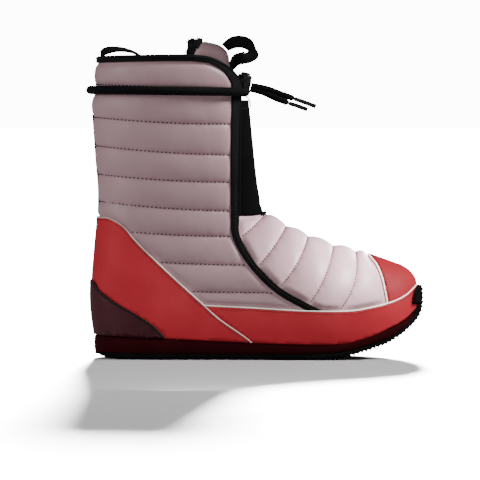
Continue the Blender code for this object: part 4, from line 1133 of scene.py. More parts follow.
    def build_binding(self, skin: Skin) -> None:
        """Black binding: a flat band with its stitches, and the roll over the edge."""
        band = skin.copy()
        band.trim(beyond(AREAS["quarter"], -self.half), self.past_rim(0.0))
        band.shift(self.skin)
        band.trim(outside(AREAS["quarter"], -self.half), outside(AREAS["mudguard"], CLEARANCE),
                  outside(AREAS["heel_wrap"], CLEARANCE))
        band.shift(CLEARANCE + self.piping - self.skin)
        piece = self.add("binding_band", band.bm, BINDING, "collar_piping")
        self.thicken(piece, self.piping)
        edge = piece.modifiers.new("edge", "BEVEL")
        edge.width, edge.segments, edge.limit_method = 0.0005, 2, "ANGLE"
        base = skin.copy().trim(outside(AREAS["mudguard"], 0.001))
        base.shift(CLEARANCE + self.piping)
        self.stitches("binding_stitches", base.trace(beyond(AREAS["quarter"], -0.0004)),
                      TRIM_STITCH,
                      BLACK_THREAD)
        rim = skin.copy()
        rim.trim(lambda places: places[:, 2] - self.foot - 0.001)
        bm = bmesh.new()
        for points, outwards in rim.trace(self.past_rim(0.0)):
            both = evenly(np.hstack([points, outwards]), 0.0018)
            line = soften(both[:, :3] - both[:, 3:] * 0.0018, 3)
            self.tube(bm, line, self.roll, 12, both[:, 3:])
        self.add("binding_roll", bm, BINDING)

    def build_strip(self, skin: Skin) -> None:
        """Narrow black tape up the middle of the back."""
        low, high = (float(LAST.height(level)) for level in self.strip_ends)
        tape = skin.copy()
        tape.trim(lambda places: -places[:, 0] - 0.01,
                  lambda places: self.strip_width / 2 - np.abs(places[:, 1]),
                  lambda places: np.minimum(places[:, 2] - low, high - places[:, 2]))
        tape.shift(CLEARANCE + self.strip)
        self.thicken(self.add("back_tape", tape.bm, BINDING, "back_strip"), self.strip)

    def build(self, skin: Skin) -> None:
        """Makes the whole upper from a plain patch of the last."""
        self.build_panels()
        self.build_seams(skin)
        self.build_binding(skin)
        self.build_strip(skin)


@dataclass
class Overlays(Assembly):
    """Heel wrap, heel counter, mudguard and toe cap with their edge cords and stitches."""

    overlay: float = 0.0017
    counter: float = 0.0028
    skin: float = 0.0020
    gap: float = 0.00055
    cord: float = 0.00075
    inset: float = 0.0021
    stitch: Stitch = Stitch(0.0026, 0.0014, 0.00038, 0.00016)

    def fields(self) -> dict[str, list[Field]]:
        """Fields that bound each overlay, its own outline first."""
        gap = self.gap
        return {
            "heel_wrap": [beyond(AREAS["heel_wrap"], gap), outside(AREAS["counter"], gap)],
            "heel_counter": [beyond(AREAS["counter"], gap)],
            "mudguard": [beyond(AREAS["mudguard"], gap), outside(AREAS["heel_wrap"], gap)],
            "toe_cap": [beyond(AREAS["toe_cap"], gap), outside(AREAS["mudguard"], gap)],
        }

    def build(self, skin: Skin) -> None:
        """Makes the four overlays from a plain patch of the last."""
        own = {"heel_wrap": "heel_wrap", "heel_counter": "counter", "mudguard": "mudguard",
               "toe_cap": "toe_cap"}
        cords = {False: bmesh.new(), True: bmesh.new()}
        for name, fields in self.fields().items():
            dark = name == "heel_counter"
            thickness = self.counter if dark else self.overlay
            face = CLEARANCE + thickness
            patch = skin.copy()
            patch.shift(self.skin)
            patch.trim(*fields)
            patch.shift(face - self.skin)
            patch.trim(beyond(AREAS["above_sole"], CLEARANCE))
            piece = self.add(name + "_panel", patch.bm, MAROON if dark else CORAL, name)
            self.thicken(piece, thickness)
            area = AREAS[own[name]]
            base = skin.copy()
            base.shift(face)
            base.trim(*fields[1:], beyond(AREAS["above_sole"], 0.001))
            lines = base.copy().trace(beyond(area, self.inset))
            self.stitches(name + "_stitches", lines, self.stitch,
                          BLACK_THREAD if dark else RED_THREAD)
            edge = skin.copy()
            edge.shift(face - 0.0004)
            edge.trim(*fields[1:], beyond(AREAS["above_sole"], 0.0004))
            for points, outwards in edge.trace(area):
                both = evenly(np.hstack([points, outwards]), 0.0016)
                self.tube(cords[dark], soften(both[:, :3], 2), (self.cord, self.cord), 8,
                          both[:, 3:])
        self.add("edge_cords_pale", cords[False], PALE_EDGE)
        self.add("edge_cord_black", cords[True], BLACK_EDGE)


@dataclass
class Gusset(Assembly):
    """Elastic panel in the throat."""

    thickness: float = 0.0020
    top: float = 1.713
    hem: float = 0.0011

    def build(self, skin: Skin) -> None:
        """Makes the panel and its hem from a plain patch of the last."""
        top = float(LAST.height(self.top))
        panel = skin.copy()
        panel.trim(beyond(AREAS["throat"], CLEARANCE), lambda places: top - places[:, 2])
        self.thicken(self.add("gusset_panel", panel.bm, ELASTIC, "gusset"), self.thickness)
        edge = skin.copy()
        edge.shift(-self.thickness / 2)
        edge.trim(beyond(AREAS["throat"], 0.0006))
        bm = bmesh.new()
        for points, outwards in edge.trace(lambda places: top - places[:, 2]):
            both = evenly(np.hstack([points, outwards]), 0.002)
            self.tube(bm, both[:, :3], (self.hem + 0.0004, self.hem), 10, both[:, 3:])
        self.add("gusset_hem", bm, BINDING)
        lines = skin.copy().trim(beyond(AREAS["throat"],
                                        0.001)).trace(lambda places: top - 0.006 - places[:, 2])
        self.stitches("gusset_stitches", lines, TRIM_STITCH, BLACK_THREAD)


@dataclass
class Tongue(Assembly):
    """Padded tongue and the fur behind it."""

    thickness: float = 0.0052
    fur: float = 0.0050
    half_angle: float = math.radians(72)
    lean: tuple = ((1.20, 0.0060), (1.60, 0.0064), (1.74, 0.0102), (1.90, 0.0108), (2.01, 0.0112),
                   (2.04, 0.0122), (2.067, 0.0150), (2.082, 0.0174), (2.097, 0.0210),
                   (2.108, 0.0260), (2.125, 0.0330))
    top: tuple = ((0.270, 1.000), (0.318, 1.950), (0.330, 2.030), (0.346, 2.085), (0.362, 2.106),
                  (0.385, 2.104), (0.430, 2.098), (0.600, 2.080))
    fur_top: tuple = ((0.240, 1.000), (0.292, 1.950), (0.300, 2.020), (0.318, 2.100),
                      (0.338, 2.140), (0.352, 2.126), (0.376, 2.116), (0.600, 2.080))
    hairs: int = 3600
    rim_hairs: int = 2400
    hair_foot: float = 0.235
    rim_foot: float = 0.244

    def layer(self, name: str, depth: float, thickness: float, top: tuple, finish: Finish,
              node: str) -> bpy.types.Object:
        """Makes one padded layer with a round edge.

        Args:
            name: Its name.
            depth: How far its middle lies behind the tongue's face.
            thickness: Its thickness.
            top: Its outline in the side view.
            finish: Its finish.
            node: Solid that it stands for.

        Returns:
            The piece.
        """
        columns, rows = 56, 110
        skin = object.__new__(Skin)
        skin.bm = bmesh.new()
        bmesh.ops.create_grid(skin.bm, x_segments=columns, y_segments=rows, size=1)
        uv = skin.add_layers()
        flat = skin.places()
        start, end = LAST.shaft_foot + 1, len(LAST.rings) - 1
        t = start + (end - start) * (1 - ((1 - flat[:, 1]) / 2) ** 1.7)
        theta = -flat[:, 0] * self.half_angle
        place = LAST.place(t, theta)
        beside = LAST.place(t, theta + 0.02) - LAST.place(t, theta - 0.02)
        above = LAST.place(t + 0.02, theta) - LAST.place(t - 0.02, theta)
        normal = np.cross(beside, above)
        normal /= np.linalg.norm(normal, axis=1)[:, None]
        normal[normal[:, 0] * np.cos(theta) < 0] *= -1
        level = 1 + (place[:, 2] - LAST.instep_height) / (LAST.collar_height - LAST.instep_height)
        table = np.array(self.lean)
        made = place - normal * np.interp(level, table[:, 0], table[:, 1])[:, None]
        for vert, spot, mark in zip(skin.bm.verts, made, flat):
            for loop in vert.link_loops:
                loop[uv].uv = (mark[0] * 0.05, mark[1] * 0.08)
            vert.co = spot
        bmesh.ops.recalc_face_normals(skin.bm, faces=skin.bm.faces)
        if sum(face.normal.x for face in skin.bm.faces) < 0:
            bmesh.ops.reverse_faces(skin.bm, faces=skin.bm.faces)
        skin.face_outwards()
        skin.shift(-depth)
        outline = Outline(LAST.curve(top), [[FAR, -FAR], [-FAR, -FAR]])
        skin.trim(outline)
        places = skin.places()
        borders = np.array([vert.co for vert in skin.bm.verts if vert.is_boundary])
        away = np.min(np.linalg.norm(places[:, None] - borders[None, ::2], axis=2), axis=1)
        away = np.minimum(away, np.maximum(outline(places), 0) * 1.4)
        radius = thickness * 0.5
        weight = np.sqrt(np.clip(1 - (1 - np.clip(away / radius, 0, 1)) ** 2, 0.01, 1))
        piece = self.add(name, skin.bm, finish, node)
        group = piece.vertex_groups.new(name="thick")
        for index, value in enumerate(weight.tolist()):
            group.add([index], value, "REPLACE")
        self.thicken(piece, thickness, 0.0, "thick")
        if finish is QUILT:
            near = piece.data.attributes.new("near_seam", "FLOAT", "POINT")
            near.data.foreach_set("value", np.full(len(places), 0.08, np.float32))
        return piece

    def grow_hairs(self, layer: bpy.types.Object, pad: bpy.types.Object) -> None:
        """Plants tufts of hair on the fur and round the rim of the pad.

        Args:
            layer: The fur's skin.
            pad: The tongue's pad.
        """
        source = np.random.default_rng(7)
        template = bpy.data.meshes.new("hair")
        seed = bmesh.new()
        bmesh.ops.create_cone(seed, cap_ends=True, segments=4, radius1=0.00042, radius2=0.00005,
                              depth=1.0)
        bmesh.ops.translate(seed, verts=seed.verts, vec=(0, 0, 0.5))
        seed.to_mesh(template)
        seed.free()
        bm = bmesh.new()

        def plant(spot: Vector, run: Vector, length: float) -> None:
            """Adds one hair."""
            stamp(bm, template, Matrix.Translation(spot) @ upright(run.normalized())
                  @ Matrix.Diagonal((1, 1, length, 1)))

        corners = np.array([vert.co for vert in layer.data.vertices])
        normals = np.array([vert.normal for vert in layer.data.vertices])
        tops = np.nonzero(corners[:, 2] > self.hair_foot)[0]
        weight = np.clip((corners[tops, 2] - self.hair_foot) / 0.032, 0.15, 1) ** 2
        for index in source.choice(tops, self.hairs, p=weight / weight.sum()).tolist():
            normal = Vector(normals[index])
            run = normal * 0.25 + Vector((0, 0, 0.8)) + Vector(source.normal(0, 0.3, 3))
            back = self.fur * (0.5 if source.random() < 0.6 else -0.2)
            spot = Vector(corners[index]) - normal * back + Vector(source.normal(0, 0.0007, 3))
            plant(spot, run, source.uniform(0.0024, 0.0046))
        border = bmesh.new()
        border.from_mesh(pad.data)
        rim = np.array([vert.co for vert in border.verts
                        if vert.is_boundary and vert.co.z > self.rim_foot])
        border.free()
        for index in source.integers(0, len(rim), self.rim_hairs).tolist():
            spot = Vector(rim[index])
            share = min(1.0, max(0.0, (spot.x - rim[:, 0].min()) / np.ptp(rim[:, 0])))
            inward = Vector((-0.0012, -0.0010 * np.sign(spot.y), -0.0008))
            spot += inward + Vector(source.normal(0, 0.0008, 3))
            lean = Vector((-0.8 + 0.5 * share, 0, 0.60 + 0.5 * share))
            run = lean + Vector(source.normal(0, 0.25, 3))
            plant(spot, run, source.uniform(0.0045, 0.0085) * (1.0 - 0.35 * share))
        bpy.data.meshes.remove(template)
        self.add("fur_hairs", bm, FUR)

    def build(self) -> None:
        """Makes tongue and fur."""
        pad = self.layer("tongue_pad", self.thickness / 2, self.thickness, self.top, QUILT,
                         "tongue")
        depth = self.thickness + 2 * CLEARANCE + self.fur / 2
        self.grow_hairs(self.layer("fur_layer", depth, self.fur, self.fur_top, FUR, "tongue_fur"),
                        pad)


@dataclass
class Drawcord(Assembly):
    """Cord round the shaft, its lock and its two free ends."""

    radius: float = 0.0037
    end_radius: float = 0.0026
    tip_radius: float = 0.0018
    lock_radius: float = 0.0062
    lock_height: float = 0.0180
    lock_x: float = 0.4714
    level: float = 1.780
    gate: float = 0.190
    tilt: float = math.radians(12)
    piping: float = 0.0016
    angles: tuple = (28, 38, 50, 66, 84, 102, 122, 142, 161, 180)
    ends: tuple = (
        ("upper", ((0.4943, -0.020, 1.8126), (0.5429, -0.030, 1.7918), (0.5857, -0.045, 1.7584),
                   (0.6257, -0.060, 1.7294), (0.6579, -0.068, 1.7056), (0.6904, -0.075, 1.6803))),
        ("lower", ((0.4914, 0.035, 1.7918), (0.5286, 0.040, 1.7710), (0.5679, 0.030, 1.7338),
                   (0.6089, 0.020, 1.7019), (0.6375, 0.015, 1.6818), (0.6650, 0.010, 1.6610))),
    )

    @staticmethod
    def point(x: float, y: float, level: float) -> Array:
        """Place from a share of the length, a share of the ball width and a level."""
        flat = LAST.side(x, level)
        return np.array([flat[0], y * LAST.ball_width, flat[1]])

    def half(self, sign: int) -> list[Array]:
        """Centre line round one side of the shaft, from the front to the back."""
        made = []
        for degrees in self.angles:
            theta = math.radians(degrees) * sign
            over = self.piping + 2 * CLEARANCE if degrees < 60 else 0
            near = LAST.place(np.full(3, LAST.cord_ring, float),
                              np.array([theta - 0.02, theta, theta + 0.02]))
            run = near[2] - near[0]
            out = np.array([run[1], -run[0], 0]) / math.hypot(run[0], run[1])
            if out[0] * math.cos(theta) < 0 or (abs(degrees - 90) < 8 and out[1] * sign > 0):
                out = -out
            made.append(near[1] + out * (self.radius + 2 * CLEARANCE + over))
        return made

    def build_loop(self) -> None:
        """The cord round the shaft."""
        start = self.point(self.lock_x, 0, self.level)
        front = [start + np.array([0, y, 0])
                 for y in (self.lock_radius + 2 * CLEARANCE, self.gate * LAST.ball_width)]
        outer = [spot * np.array([1, -1, 1]) for spot in front]
        route = np.array(outer + self.half(1) + self.half(-1)[-2::-1] + front[::-1])
        line = spline(route, np.linspace(0, len(route) - 1, 180))
        line = evenly(line, 0.0025)
        travel = np.linspace(0, 1, len(line))
        slim = 1 - 0.20 * np.exp(-np.minimum(travel, 1 - travel) / 0.035)
        radii = np.stack([slim, slim], axis=1) * self.radius
        bm = bmesh.new()
        self.tube(bm, line, radii, 16)
        piece = self.add("drawcord_braid", bm, CORD, "drawcord")

    def build_ends(self) -> None:
        """The two free ends with their tips."""
        for name, places in self.ends:
            route = np.array([self.point(*place) for place in places])
            run = route[4] - route[3]
            run /= np.linalg.norm(run)
            line = evenly(spline(route[:4], np.linspace(0, 3, 40)), 0.0020)
            share = np.linspace(0, 1, len(line))
            round_end = np.sqrt(np.clip(1 - np.clip((share - 0.94) / 0.06, 0, 1) ** 2, 0.12, 1))
            radii = np.stack([round_end, round_end], axis=1) * self.end_radius
            bm = bmesh.new()
            self.tube(bm, line, radii, 14)
            cord = self.add(f"cord_{name}", bm, CORD, f"cord_end_{name}")
            tip = np.vstack([route[3] + run * 0.0001, route[4:]])
            tip = spline(tip, np.linspace(0, len(tip) - 1, 16))
            bm = bmesh.new()
            self.tube(bm, tip, (self.tip_radius, self.tip_radius), 12)
            aglet = self.add(f"tip_{name}", bm, PLASTIC, f"cord_tip_{name}")

    def build_lock(self) -> None:
        """Barrel lock: a lathed body with a rim, and its button."""
        r, h = self.lock_radius, self.lock_height
        profile = ((0, -0.50), (0.78, -0.50), (0.88, -0.47), (0.97, -0.40), (0.97, -0.20),
                   (1.0, -0.17), (1.0, 0.10), (0.97, 0.13), (0.95, 0.24), (0.97, 0.27),
                   (0.97, 0.33), (0.90, 0.38), (0.72, 0.39), (0.70, 0.36), (0.66, 0.36),
                   (0.64, 0.46), (0.56, 0.50), (0, 0.51))
        bm = bmesh.new()
        verts = [bm.verts.new((a * r, 0, b * h)) for a, b in profile]
        edges = [bm.edges.new(pair) for pair in zip(verts, verts[1:])]
        bmesh.ops.spin(bm, geom=[*verts, *edges], cent=(0, 0, 0), axis=(0, 0, 1),
                       angle=2 * math.pi, steps=36,
                       use_merge=True, use_normal_flip=False, use_duplicate=False)
        bmesh.ops.remove_doubles(bm, verts=bm.verts, dist=1e-6)
        bmesh.ops.recalc_face_normals(bm, faces=bm.faces)
        centre = self.point(self.lock_x, 0, self.level) + np.array([0, 0, h * 0.38])
        bmesh.ops.transform(bm, matrix=Matrix.Translation(centre) @ Matrix.Rotation(self.tilt, 4,
                                                                                    "Y"),
                            verts=bm.verts)
        self.add("lock_barrel", bm, PLASTIC, "cord_lock")

    def build(self) -> None:
        """Makes cord, ends and lock."""
        self.build_loop()
        self.build_ends()
        self.build_lock()


@dataclass
class Webbing(Assembly):
    """Pull loops of the tongue and of the heel, and the keeper of the cord lock."""

    thickness: float = 0.0016
    front_width: float = 0.0105
    back_width: float = 0.0120
    keeper_width: float = 0.0040
    front: tuple = ((0.4140, 0.040, 2.0541, (-0.70, 0.0, 0.70), 0.75),
                    (0.4374, 0.045, 2.0847, (-0.25, 0.0, 0.97), 1.0),
                    (0.4621, 0.045, 2.0913, (0.05, 0.0, 1.00), 1.0),
                    (0.4826, 0.040, 2.0762, (0.75, 0.0, 0.66), 1.0),
                    (0.4973, 0.015, 2.0373, (0.95, 0.0, 0.30), 0.62),
                    (0.4941, -0.015, 2.0069, (0.98, 0.0, -0.18), 1.25),
                    (0.4832, -0.035, 1.9924, (0.70, 0.0, -0.72), 1.05),
                    (0.4685, -0.045, 1.9872, (0.10, 0.0, -1.00), 1.0),
                    (0.4481, -0.045, 1.9733, (0.35, 0.2, -0.90), 0.95),
                    (0.4390, -0.030, 1.9417, (0.60, 0.7, -0.30), 0.8),
                    (0.4361, 0.000, 1.9157, (0.10, 1.0, 0.00), 0.8))
    back: tuple = ((0.0371, 0.000, 2.0074, (0, 0.87, 0.50)),
                   (0.0429, 0.000, 2.0228, (0, 0.87, 0.50)),
                   (0.0571, 0.000, 2.0351, (0.0, 0.90, 0.45)),
                   (0.0839, 0.000, 2.0431, (0.0, 0.95, 0.30)),
                   (0.1161, 0.000, 2.0361, (0.0, 0.98, 0.18)),
                   (0.1446, 0.000, 2.0158, (0, 1, 0.08)), (0.1571, 0.000, 1.9911, (0, 1, 0)),
                   (0.1357, 0.000, 1.9665, (0, 1, 0)), (0.0893, 0.000, 1.9480, (0, 1, 0)),
                   (0.0504, 0.000, 1.9033, (0, 1, 0)))
    keeper: tuple = ((0.4921, 0.000, 1.6758, (0, 1, 0)), (0.4893, 0.000, 1.7204, (0, 1, 0)),
                     (0.4768, 0.000, 1.7443, (0, 1, 0)))

    def ribbon(self, name: str, route: tuple, width: float, thickness: float, node: str) -> None:
        """Makes one webbing along its bends.

        Args:
            name: Its name.
            route: Bends as x, y, level, direction of the width and, where it differs, its share.
            width: Its width.
            thickness: Its thickness.
            node: Solid that it stands for.
        """
        centres = np.array([Drawcord.point(*bend[:3]) for bend in route])
        sides = np.array([bend[3] for bend in route], float)
        shares = np.array([bend[4] if len(bend) > 4 else 1.0 for bend in route])
        count, across = (len(route) - 1) * 14, 8
        t = np.linspace(0, len(route) - 1, count + 1)
        line, side = spline(centres, t), spline(sides / np.linalg.norm(sides, axis=1)[:, None], t)
        side /= np.linalg.norm(side, axis=1)[:, None]
        side *= np.interp(t, np.arange(len(shares)), shares)[:, None]
        travel = travelled(line)
        bm = bmesh.new()
        uv = bm.loops.layers.uv.new("UVMap")
        for vert, i, _ in grid(bm, count, across):
            y = vert.co.y * width / 2
            for loop in vert.link_loops:
                loop[uv].uv = (travel[i], y)
            vert.co = line[i] + side[i] * y
        piece = self.add(name, bm, WEBBING, node)
        self.thicken(piece, thickness, 0.0)
        edge = piece.modifiers.new("edge", "BEVEL")
        edge.width, edge.segments, edge.limit_method = thickness * 0.3, 2, "ANGLE"

    def build(self) -> None:
        """Makes both loops and the keeper."""
        self.ribbon("tongue_loop", self.front, self.front_width, self.thickness, "front_pull_loop")
        self.ribbon("heel_loop", self.back, self.back_width, self.thickness, "back_pull_loop")
        self.ribbon("lock_keeper", self.keeper, self.keeper_width, 0.0010, "cord_keeper")


@dataclass
class Sole(Assembly):
    """Foam midsole with its rounded wall, and the ribs that the tread turns up over the toe."""

    margin: tuple = ((0.00, 0.0018), (0.20, 0.0026), (0.40, 0.0022), (0.60, 0.0026), (0.80, 0.0032),
                     (0.93, 0.0046), (1.00, 0.0058))
    ground: tuple = ((0.700, 0.000), (0.740, 0.007), (0.783, 0.029), (0.826, 0.056), (0.868, 0.086),
                     (0.911, 0.125), (0.954, 0.183), (0.984, 0.242), (1.003, 0.292), (1.013, 0.345),
                     (1.017, 0.400), (1.017, 0.455), (1.014, 0.505))
    heel_ground: tuple = ((0.010, 0.046), (0.024, 0.040), (0.040, 0.022), (0.066, 0.008),
                          (0.100, 0.000))
    pitch: float = 0.0022
    rib_pitch: float = 0.0037
    rib: float = 0.0011
    bumper_half_width: float = 0.0245
    hub_x: float = 0.12

    def margins(self, points: Array) -> tuple[Array, Array]:
        """Shares of the length at the points, and how far the sole stands out there."""
        table = np.array(self.margin)
        share = (points[:, 0] + LAST.heel_back) / LAST.length
        return share, np.interp(share, table[:, 0], table[:, 1])

    def outline(self, skin: Skin) -> tuple[Array, Array]:
        """Line where upper and sole meet, and its outward directions in plan."""
        lines = skin.copy().trace(AREAS["above_sole"])
        points = max((line for line, _ in lines), key=len)
        points = soften(evenly(points, self.pitch, closed=True), 6, closed=True)
        run = np.roll(points, -1, 0) - np.roll(points, 1, 0)
        out = np.stack([run[:, 1], -run[:, 0], np.zeros(len(run))], axis=1)
        out /= np.linalg.norm(out, axis=1)[:, None]
        centre = points.mean(axis=0)
        if np.sum((points - centre) * out) < 0:
            out = -out
        return points, soften(out, 4, closed=True)

    def build_midsole(self, points: Array, out: Array) -> None:
        """Foam ring between upper and outsole."""
        share, margin = self.margins(points)
        beside = np.abs(points[:, 1] - LAST.rings[0][6] * LAST.ball_width)
        margin *= 1 - 0.65 * smooth_step(share, 0.93, 0.98) * (1 - smooth_step(beside, 0.019,
                                                                               0.026))
        split = LAST.curve(PATTERN.split)
        top = points[:, 2]
        wall_x = points[:, 0] + out[:, 0] * margin
        low = np.interp(wall_x, split[:, 0], split[:, 1]) + 0.0001
        section = ((-0.010, 0.0, -0.0002), (0.0, 0.0, -0.0002), (1.0, 0.0, -0.0014),
                   (1.0, 0.0, 0.0), (1.0, 0.12, 0.0005), (1.0, 0.5, 0.0007), (1.0, 0.9, 0.0004),
                   (1.0, 1.0, -0.0002), (1.0, 1.0, -0.0014), (-0.010, 1.0, 0.0))
        count = len(points)
        bm = bmesh.new()
        uv = bm.loops.layers.uv.new("UVMap")
        for vert, i, j in grid(bm, count, len(section)):
            for loop in vert.link_loops:
                loop[uv].uv = (i * self.pitch, j * 0.002)
            k = i % count
            part, drop, puff = section[j % len(section)]
            reach = margin[k] * part if part >= 0 else part
            height = top[k] + (low[k] - top[k]) * drop
            if j % len(section) == 3:
                height -= 0.0010
            vert.co = points[k] + out[k] * (reach + puff)
            vert.co.z = height
        bmesh.ops.remove_doubles(bm, verts=bm.verts, dist=1e-7)
        bmesh.ops.recalc_face_normals(bm, faces=bm.faces)
        self.add("midsole_wall", bm, FOAM, "midsole")

    def build_edge(self, points: Array, out: Array) -> None:
        """Rubber edge of the tread, which closes the ends of its grooves."""
        margin = self.margins(points)[1]
        split = LAST.curve(PATTERN.split)
        ground = np.vstack([LAST.curve(self.heel_ground), LAST.curve(self.ground)])
        wall = points + out * margin[:, None]
        high = np.interp(wall[:, 0], split[:, 0], split[:, 1]) - 0.0002
        low = np.minimum(np.interp(wall[:, 0], ground[:, 0], ground[:, 1]) + 0.0002, high - 0.0015)
        section = ((-0.0030, 0.0), (-0.0006, 0.0), (0.0, 0.12), (0.0002, 0.6), (-0.0001, 0.9),
                   (-0.0009, 1.0),
                   (-0.0030, 1.0))
        count = len(points)
        bm = bmesh.new()
        for vert, i, j in grid(bm, count, len(section)):
            k = i % count
            reach, drop = section[j % len(section)]
            vert.co = wall[k] + out[k] * reach
            vert.co.z = high[k] + (low[k] - high[k]) * drop
        bmesh.ops.remove_doubles(bm, verts=bm.verts, dist=1e-7)
        bmesh.ops.recalc_face_normals(bm, faces=bm.faces)
        self.add("tread_edge", bm, TREAD)

    def build_ribs(self, points: Array, out: Array) -> None:
        """Fine ribs across the tread, from the ball of the foot up over the toe."""
        plan = (points + out * self.margins(points)[1][:, None])[:, :2]
        split = LAST.curve(PATTERN.split)
        curve = evenly(LAST.curve(self.ground), self.rib_pitch)
        centre = LAST.rings[0][6] * LAST.ball_width
        split_end = float(split[-1, 1])
        top = float(LAST.height(self.ground[-1][1]))
        angle = np.arctan2(plan[:, 1] - centre, plan[:, 0] - self.hub_x)
        order = np.argsort(angle)
        bm = bmesh.new()
        front = plan[:, 0].max() - 0.0135
        for x, z in curve[1:-1]:
            inside = np.abs(plan[:, 0] - x) < 0.012
            if z > split_end:
                height_share = (z - split_end) / (top - split_end)
                reach = self.bumper_half_width * math.sqrt(max(1 - height_share ** 2, 0.05))
                sides = (centre - reach + 0.001, centre + reach - 0.001)
            else:
                near = min(x, front)
                right = plan[(plan[:, 0] > near - 0.004) & (plan[:, 0] < near + 0.004)]
                if not inside.any() or len(right) < 2:
                    continue
                sides = (right[:, 1].min() + 0.0006, right[:, 1].max() - 0.0006)
            across = np.linspace(sides[0], sides[1], 25)
            heads = np.arctan2(across - centre, 0.09)
            radius = np.interp(heads, angle[order],
                               np.hypot(plan[order, 0] - self.hub_x, plan[order, 1] - centre))
            edge_x = self.hub_x + radius * np.cos(heads)
            line = np.stack([np.minimum(x, edge_x), across,
                             np.full(25, max(z, self.rib + 0.0001))], axis=1)
            if z <= split_end:
                line = line[np.interp(line[:, 0], split[:, 0], split[:, 1]) > z - 0.0005]
            if len(line) < 3:
                continue
            self.tube(bm, line, (self.rib, self.rib), 8)
        self.add("tread_ribs", bm, TREAD)

    def build(self, skin: Skin) -> None:
        """Makes the midsole and ribs, and dresses the outsole and insole of the frame."""
        points, out = self.outline(skin)
        self.build_midsole(points, out)
        self.build_edge(points, out)
        self.build_ribs(points, out)
        for node, finish in (("outsole", TREAD), ("insole", FELT)):
            piece = frame["nodes"][node]
            for slot in piece.material_slots:
                slot.material = finish.build()


@dataclass(frozen=True)
class Lamp:
    """Square area light on the boot, and how the names of what it lights start."""

    name: str
    place: tuple[float, float, float]
    size: float
    power: float
    lit: tuple[str, ...] = ()
    apart: bool = False


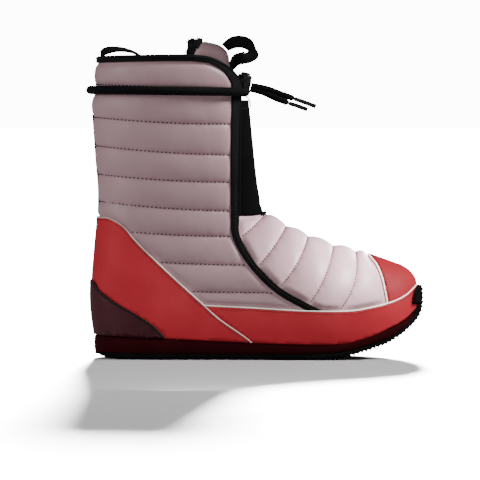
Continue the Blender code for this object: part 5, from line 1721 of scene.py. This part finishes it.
@dataclass
class Studio:
    """Pale floor, soft lights and the camera at the photograph's angle."""

    target: tuple[float, float, float] = (0.0888, 0.0, 0.1002)
    distance: float = 4.0
    elevation: float = math.radians(1.5)
    frame_width: float = 0.4094
    floor_size: float = 80
    floor_seen: float = 0.75
    floor_bounced: float = 0.01
    sun_power: float = 330.0
    sun_angle: float = math.radians(5)
    sun_from: tuple[float, float, float] = (0.02, 1.0, 0.25)
    backdrop: float = 13.0
    ambient: float = 0.12
    lamps: tuple[Lamp, ...] = (
        Lamp("key", (1.6, -0.22, 1.35), 0.8, 38, ("vamp", "tongue_pad"), apart=True),
        Lamp("fill", (-0.6, -1.8, 0.9), 1.4, 2.4),
        Lamp("low", (0.15, -0.48, 0.04), 0.25, 0.32),
        Lamp("back", (-1.7, -0.9, 0.7), 0.9, 10),
        Lamp("side", (0.2, -1.6, 0.25), 0.6, 4.2, ("mudguard", "heel_wrap", "midsole",
                                                   "tongue_pad")),
        Lamp("toe_right", (0.25, -0.08, 0.155), 0.06, 0.60, ("vamp", "edge_cords_pale")),
        Lamp("toe_left", (0.25, 0.09, 0.155), 0.06, 0.40, ("vamp", "edge_cords_pale")))

    def build_floor(self) -> None:
        """Wide floor under a low sun of its own, whose shadow falls toward the camera."""
        bm = bmesh.new()
        bmesh.ops.create_grid(bm, x_segments=8, y_segments=8, size=self.floor_size)
        mesh = bpy.data.meshes.new("studio_floor")
        bm.to_mesh(mesh)
        bm.free()
        made = bpy.data.materials.new("pale_floor")
        made.use_nodes = True
        wiring = Wiring(made.node_tree)
        seen, bounced = (wiring.node("BsdfDiffuse", {"Color": (shade, shade, shade, 1)})
                         for shade in (self.floor_seen, self.floor_bounced))
        both = wiring.node("MixShader", {0: wiring.node("LightPath").outputs[0],
                                         1: bounced.outputs[0],
                                         2: seen.outputs[0]})
        wiring.node("OutputMaterial", {"Surface": both.outputs[0]})
        mesh.materials.append(made)
        linked("studio_floor", mesh)
        data = bpy.data.lights.new("sun", "SUN")
        data.energy, data.angle = self.sun_power, self.sun_angle
        self.only(self.aimed("sun", data, Vector(self.sun_from)), ("studio_floor",))

    @staticmethod
    def aimed(name: str, data: bpy.types.ID, back: Vector) -> bpy.types.Object:
        """New lamp or camera whose back points along a direction."""
        made = linked(name, data)
        made.rotation_mode = "QUATERNION"
        made.rotation_quaternion = back.to_track_quat("Z", "Y")
        return made

    @staticmethod
    def only(lamp: bpy.types.Object, names: tuple[str, ...], apart: bool = False) -> None:
        """Lets a lamp light some objects only.

        Args:
            lamp: The lamp.
            names: How the names of the objects start.
            apart: Whether it lights all the others instead.
        """
        lit = bpy.data.collections.new("lit_by_" + lamp.name)
        for piece in bpy.data.objects:
            if piece.type == "MESH" and piece.name.startswith(names) != apart:
                lit.objects.link(piece)
        lamp.light_linking.receiver_collection = lit

    def build_lamps(self) -> None:
        """Area lights round the boot."""
        for each in self.lamps:
            data = bpy.data.lights.new(each.name, "AREA")
            data.size, data.energy = each.size, each.power
            lamp = self.aimed(each.name, data, Vector(each.place) - Vector(self.target))
            lamp.location = each.place
            lamp.visible_camera = False
            if each.lit:
                self.only(lamp, each.lit, each.apart)

    def build(self) -> None:
        """Makes floor, lights, world and camera."""
        self.build_floor()
        self.build_lamps()
        world = bpy.data.worlds.new("studio")
        bpy.context.scene.world = world
        world.use_nodes = True
        wiring = Wiring(world.node_tree)
        strength = wiring.math("MULTIPLY_ADD", wiring.node("LightPath").outputs[0],
                               self.backdrop, self.ambient)
        sky = wiring.node("Background", {"Color": (1, 1, 1, 1), "Strength": strength})
        wiring.node("OutputWorld", {"Surface": sky.outputs[0]})
        camera = bpy.data.cameras.new("camera")
        camera.lens = camera.sensor_width * self.distance / self.frame_width
        camera.clip_end = 100
        back = Vector((0, -math.cos(self.elevation), math.sin(self.elevation)))
        eye = self.aimed("camera", camera, back)
        eye.location = Vector(self.target) + back * self.distance
        bpy.context.scene.camera = eye


def main() -> None:
    """Builds the boot's sub-assemblies in order, then the studio."""
    logging.basicConfig(level=logging.INFO, format="%(message)s")
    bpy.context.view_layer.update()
    skin = Skin(0.0024)
    Drawcord().build()
    Webbing().build()
    Upper().build(skin)
    Overlays().build(skin)
    Gusset().build(skin)
    Tongue().build()
    Sole().build(skin)
    Studio().build()


if __name__ == "__main__":
    main()
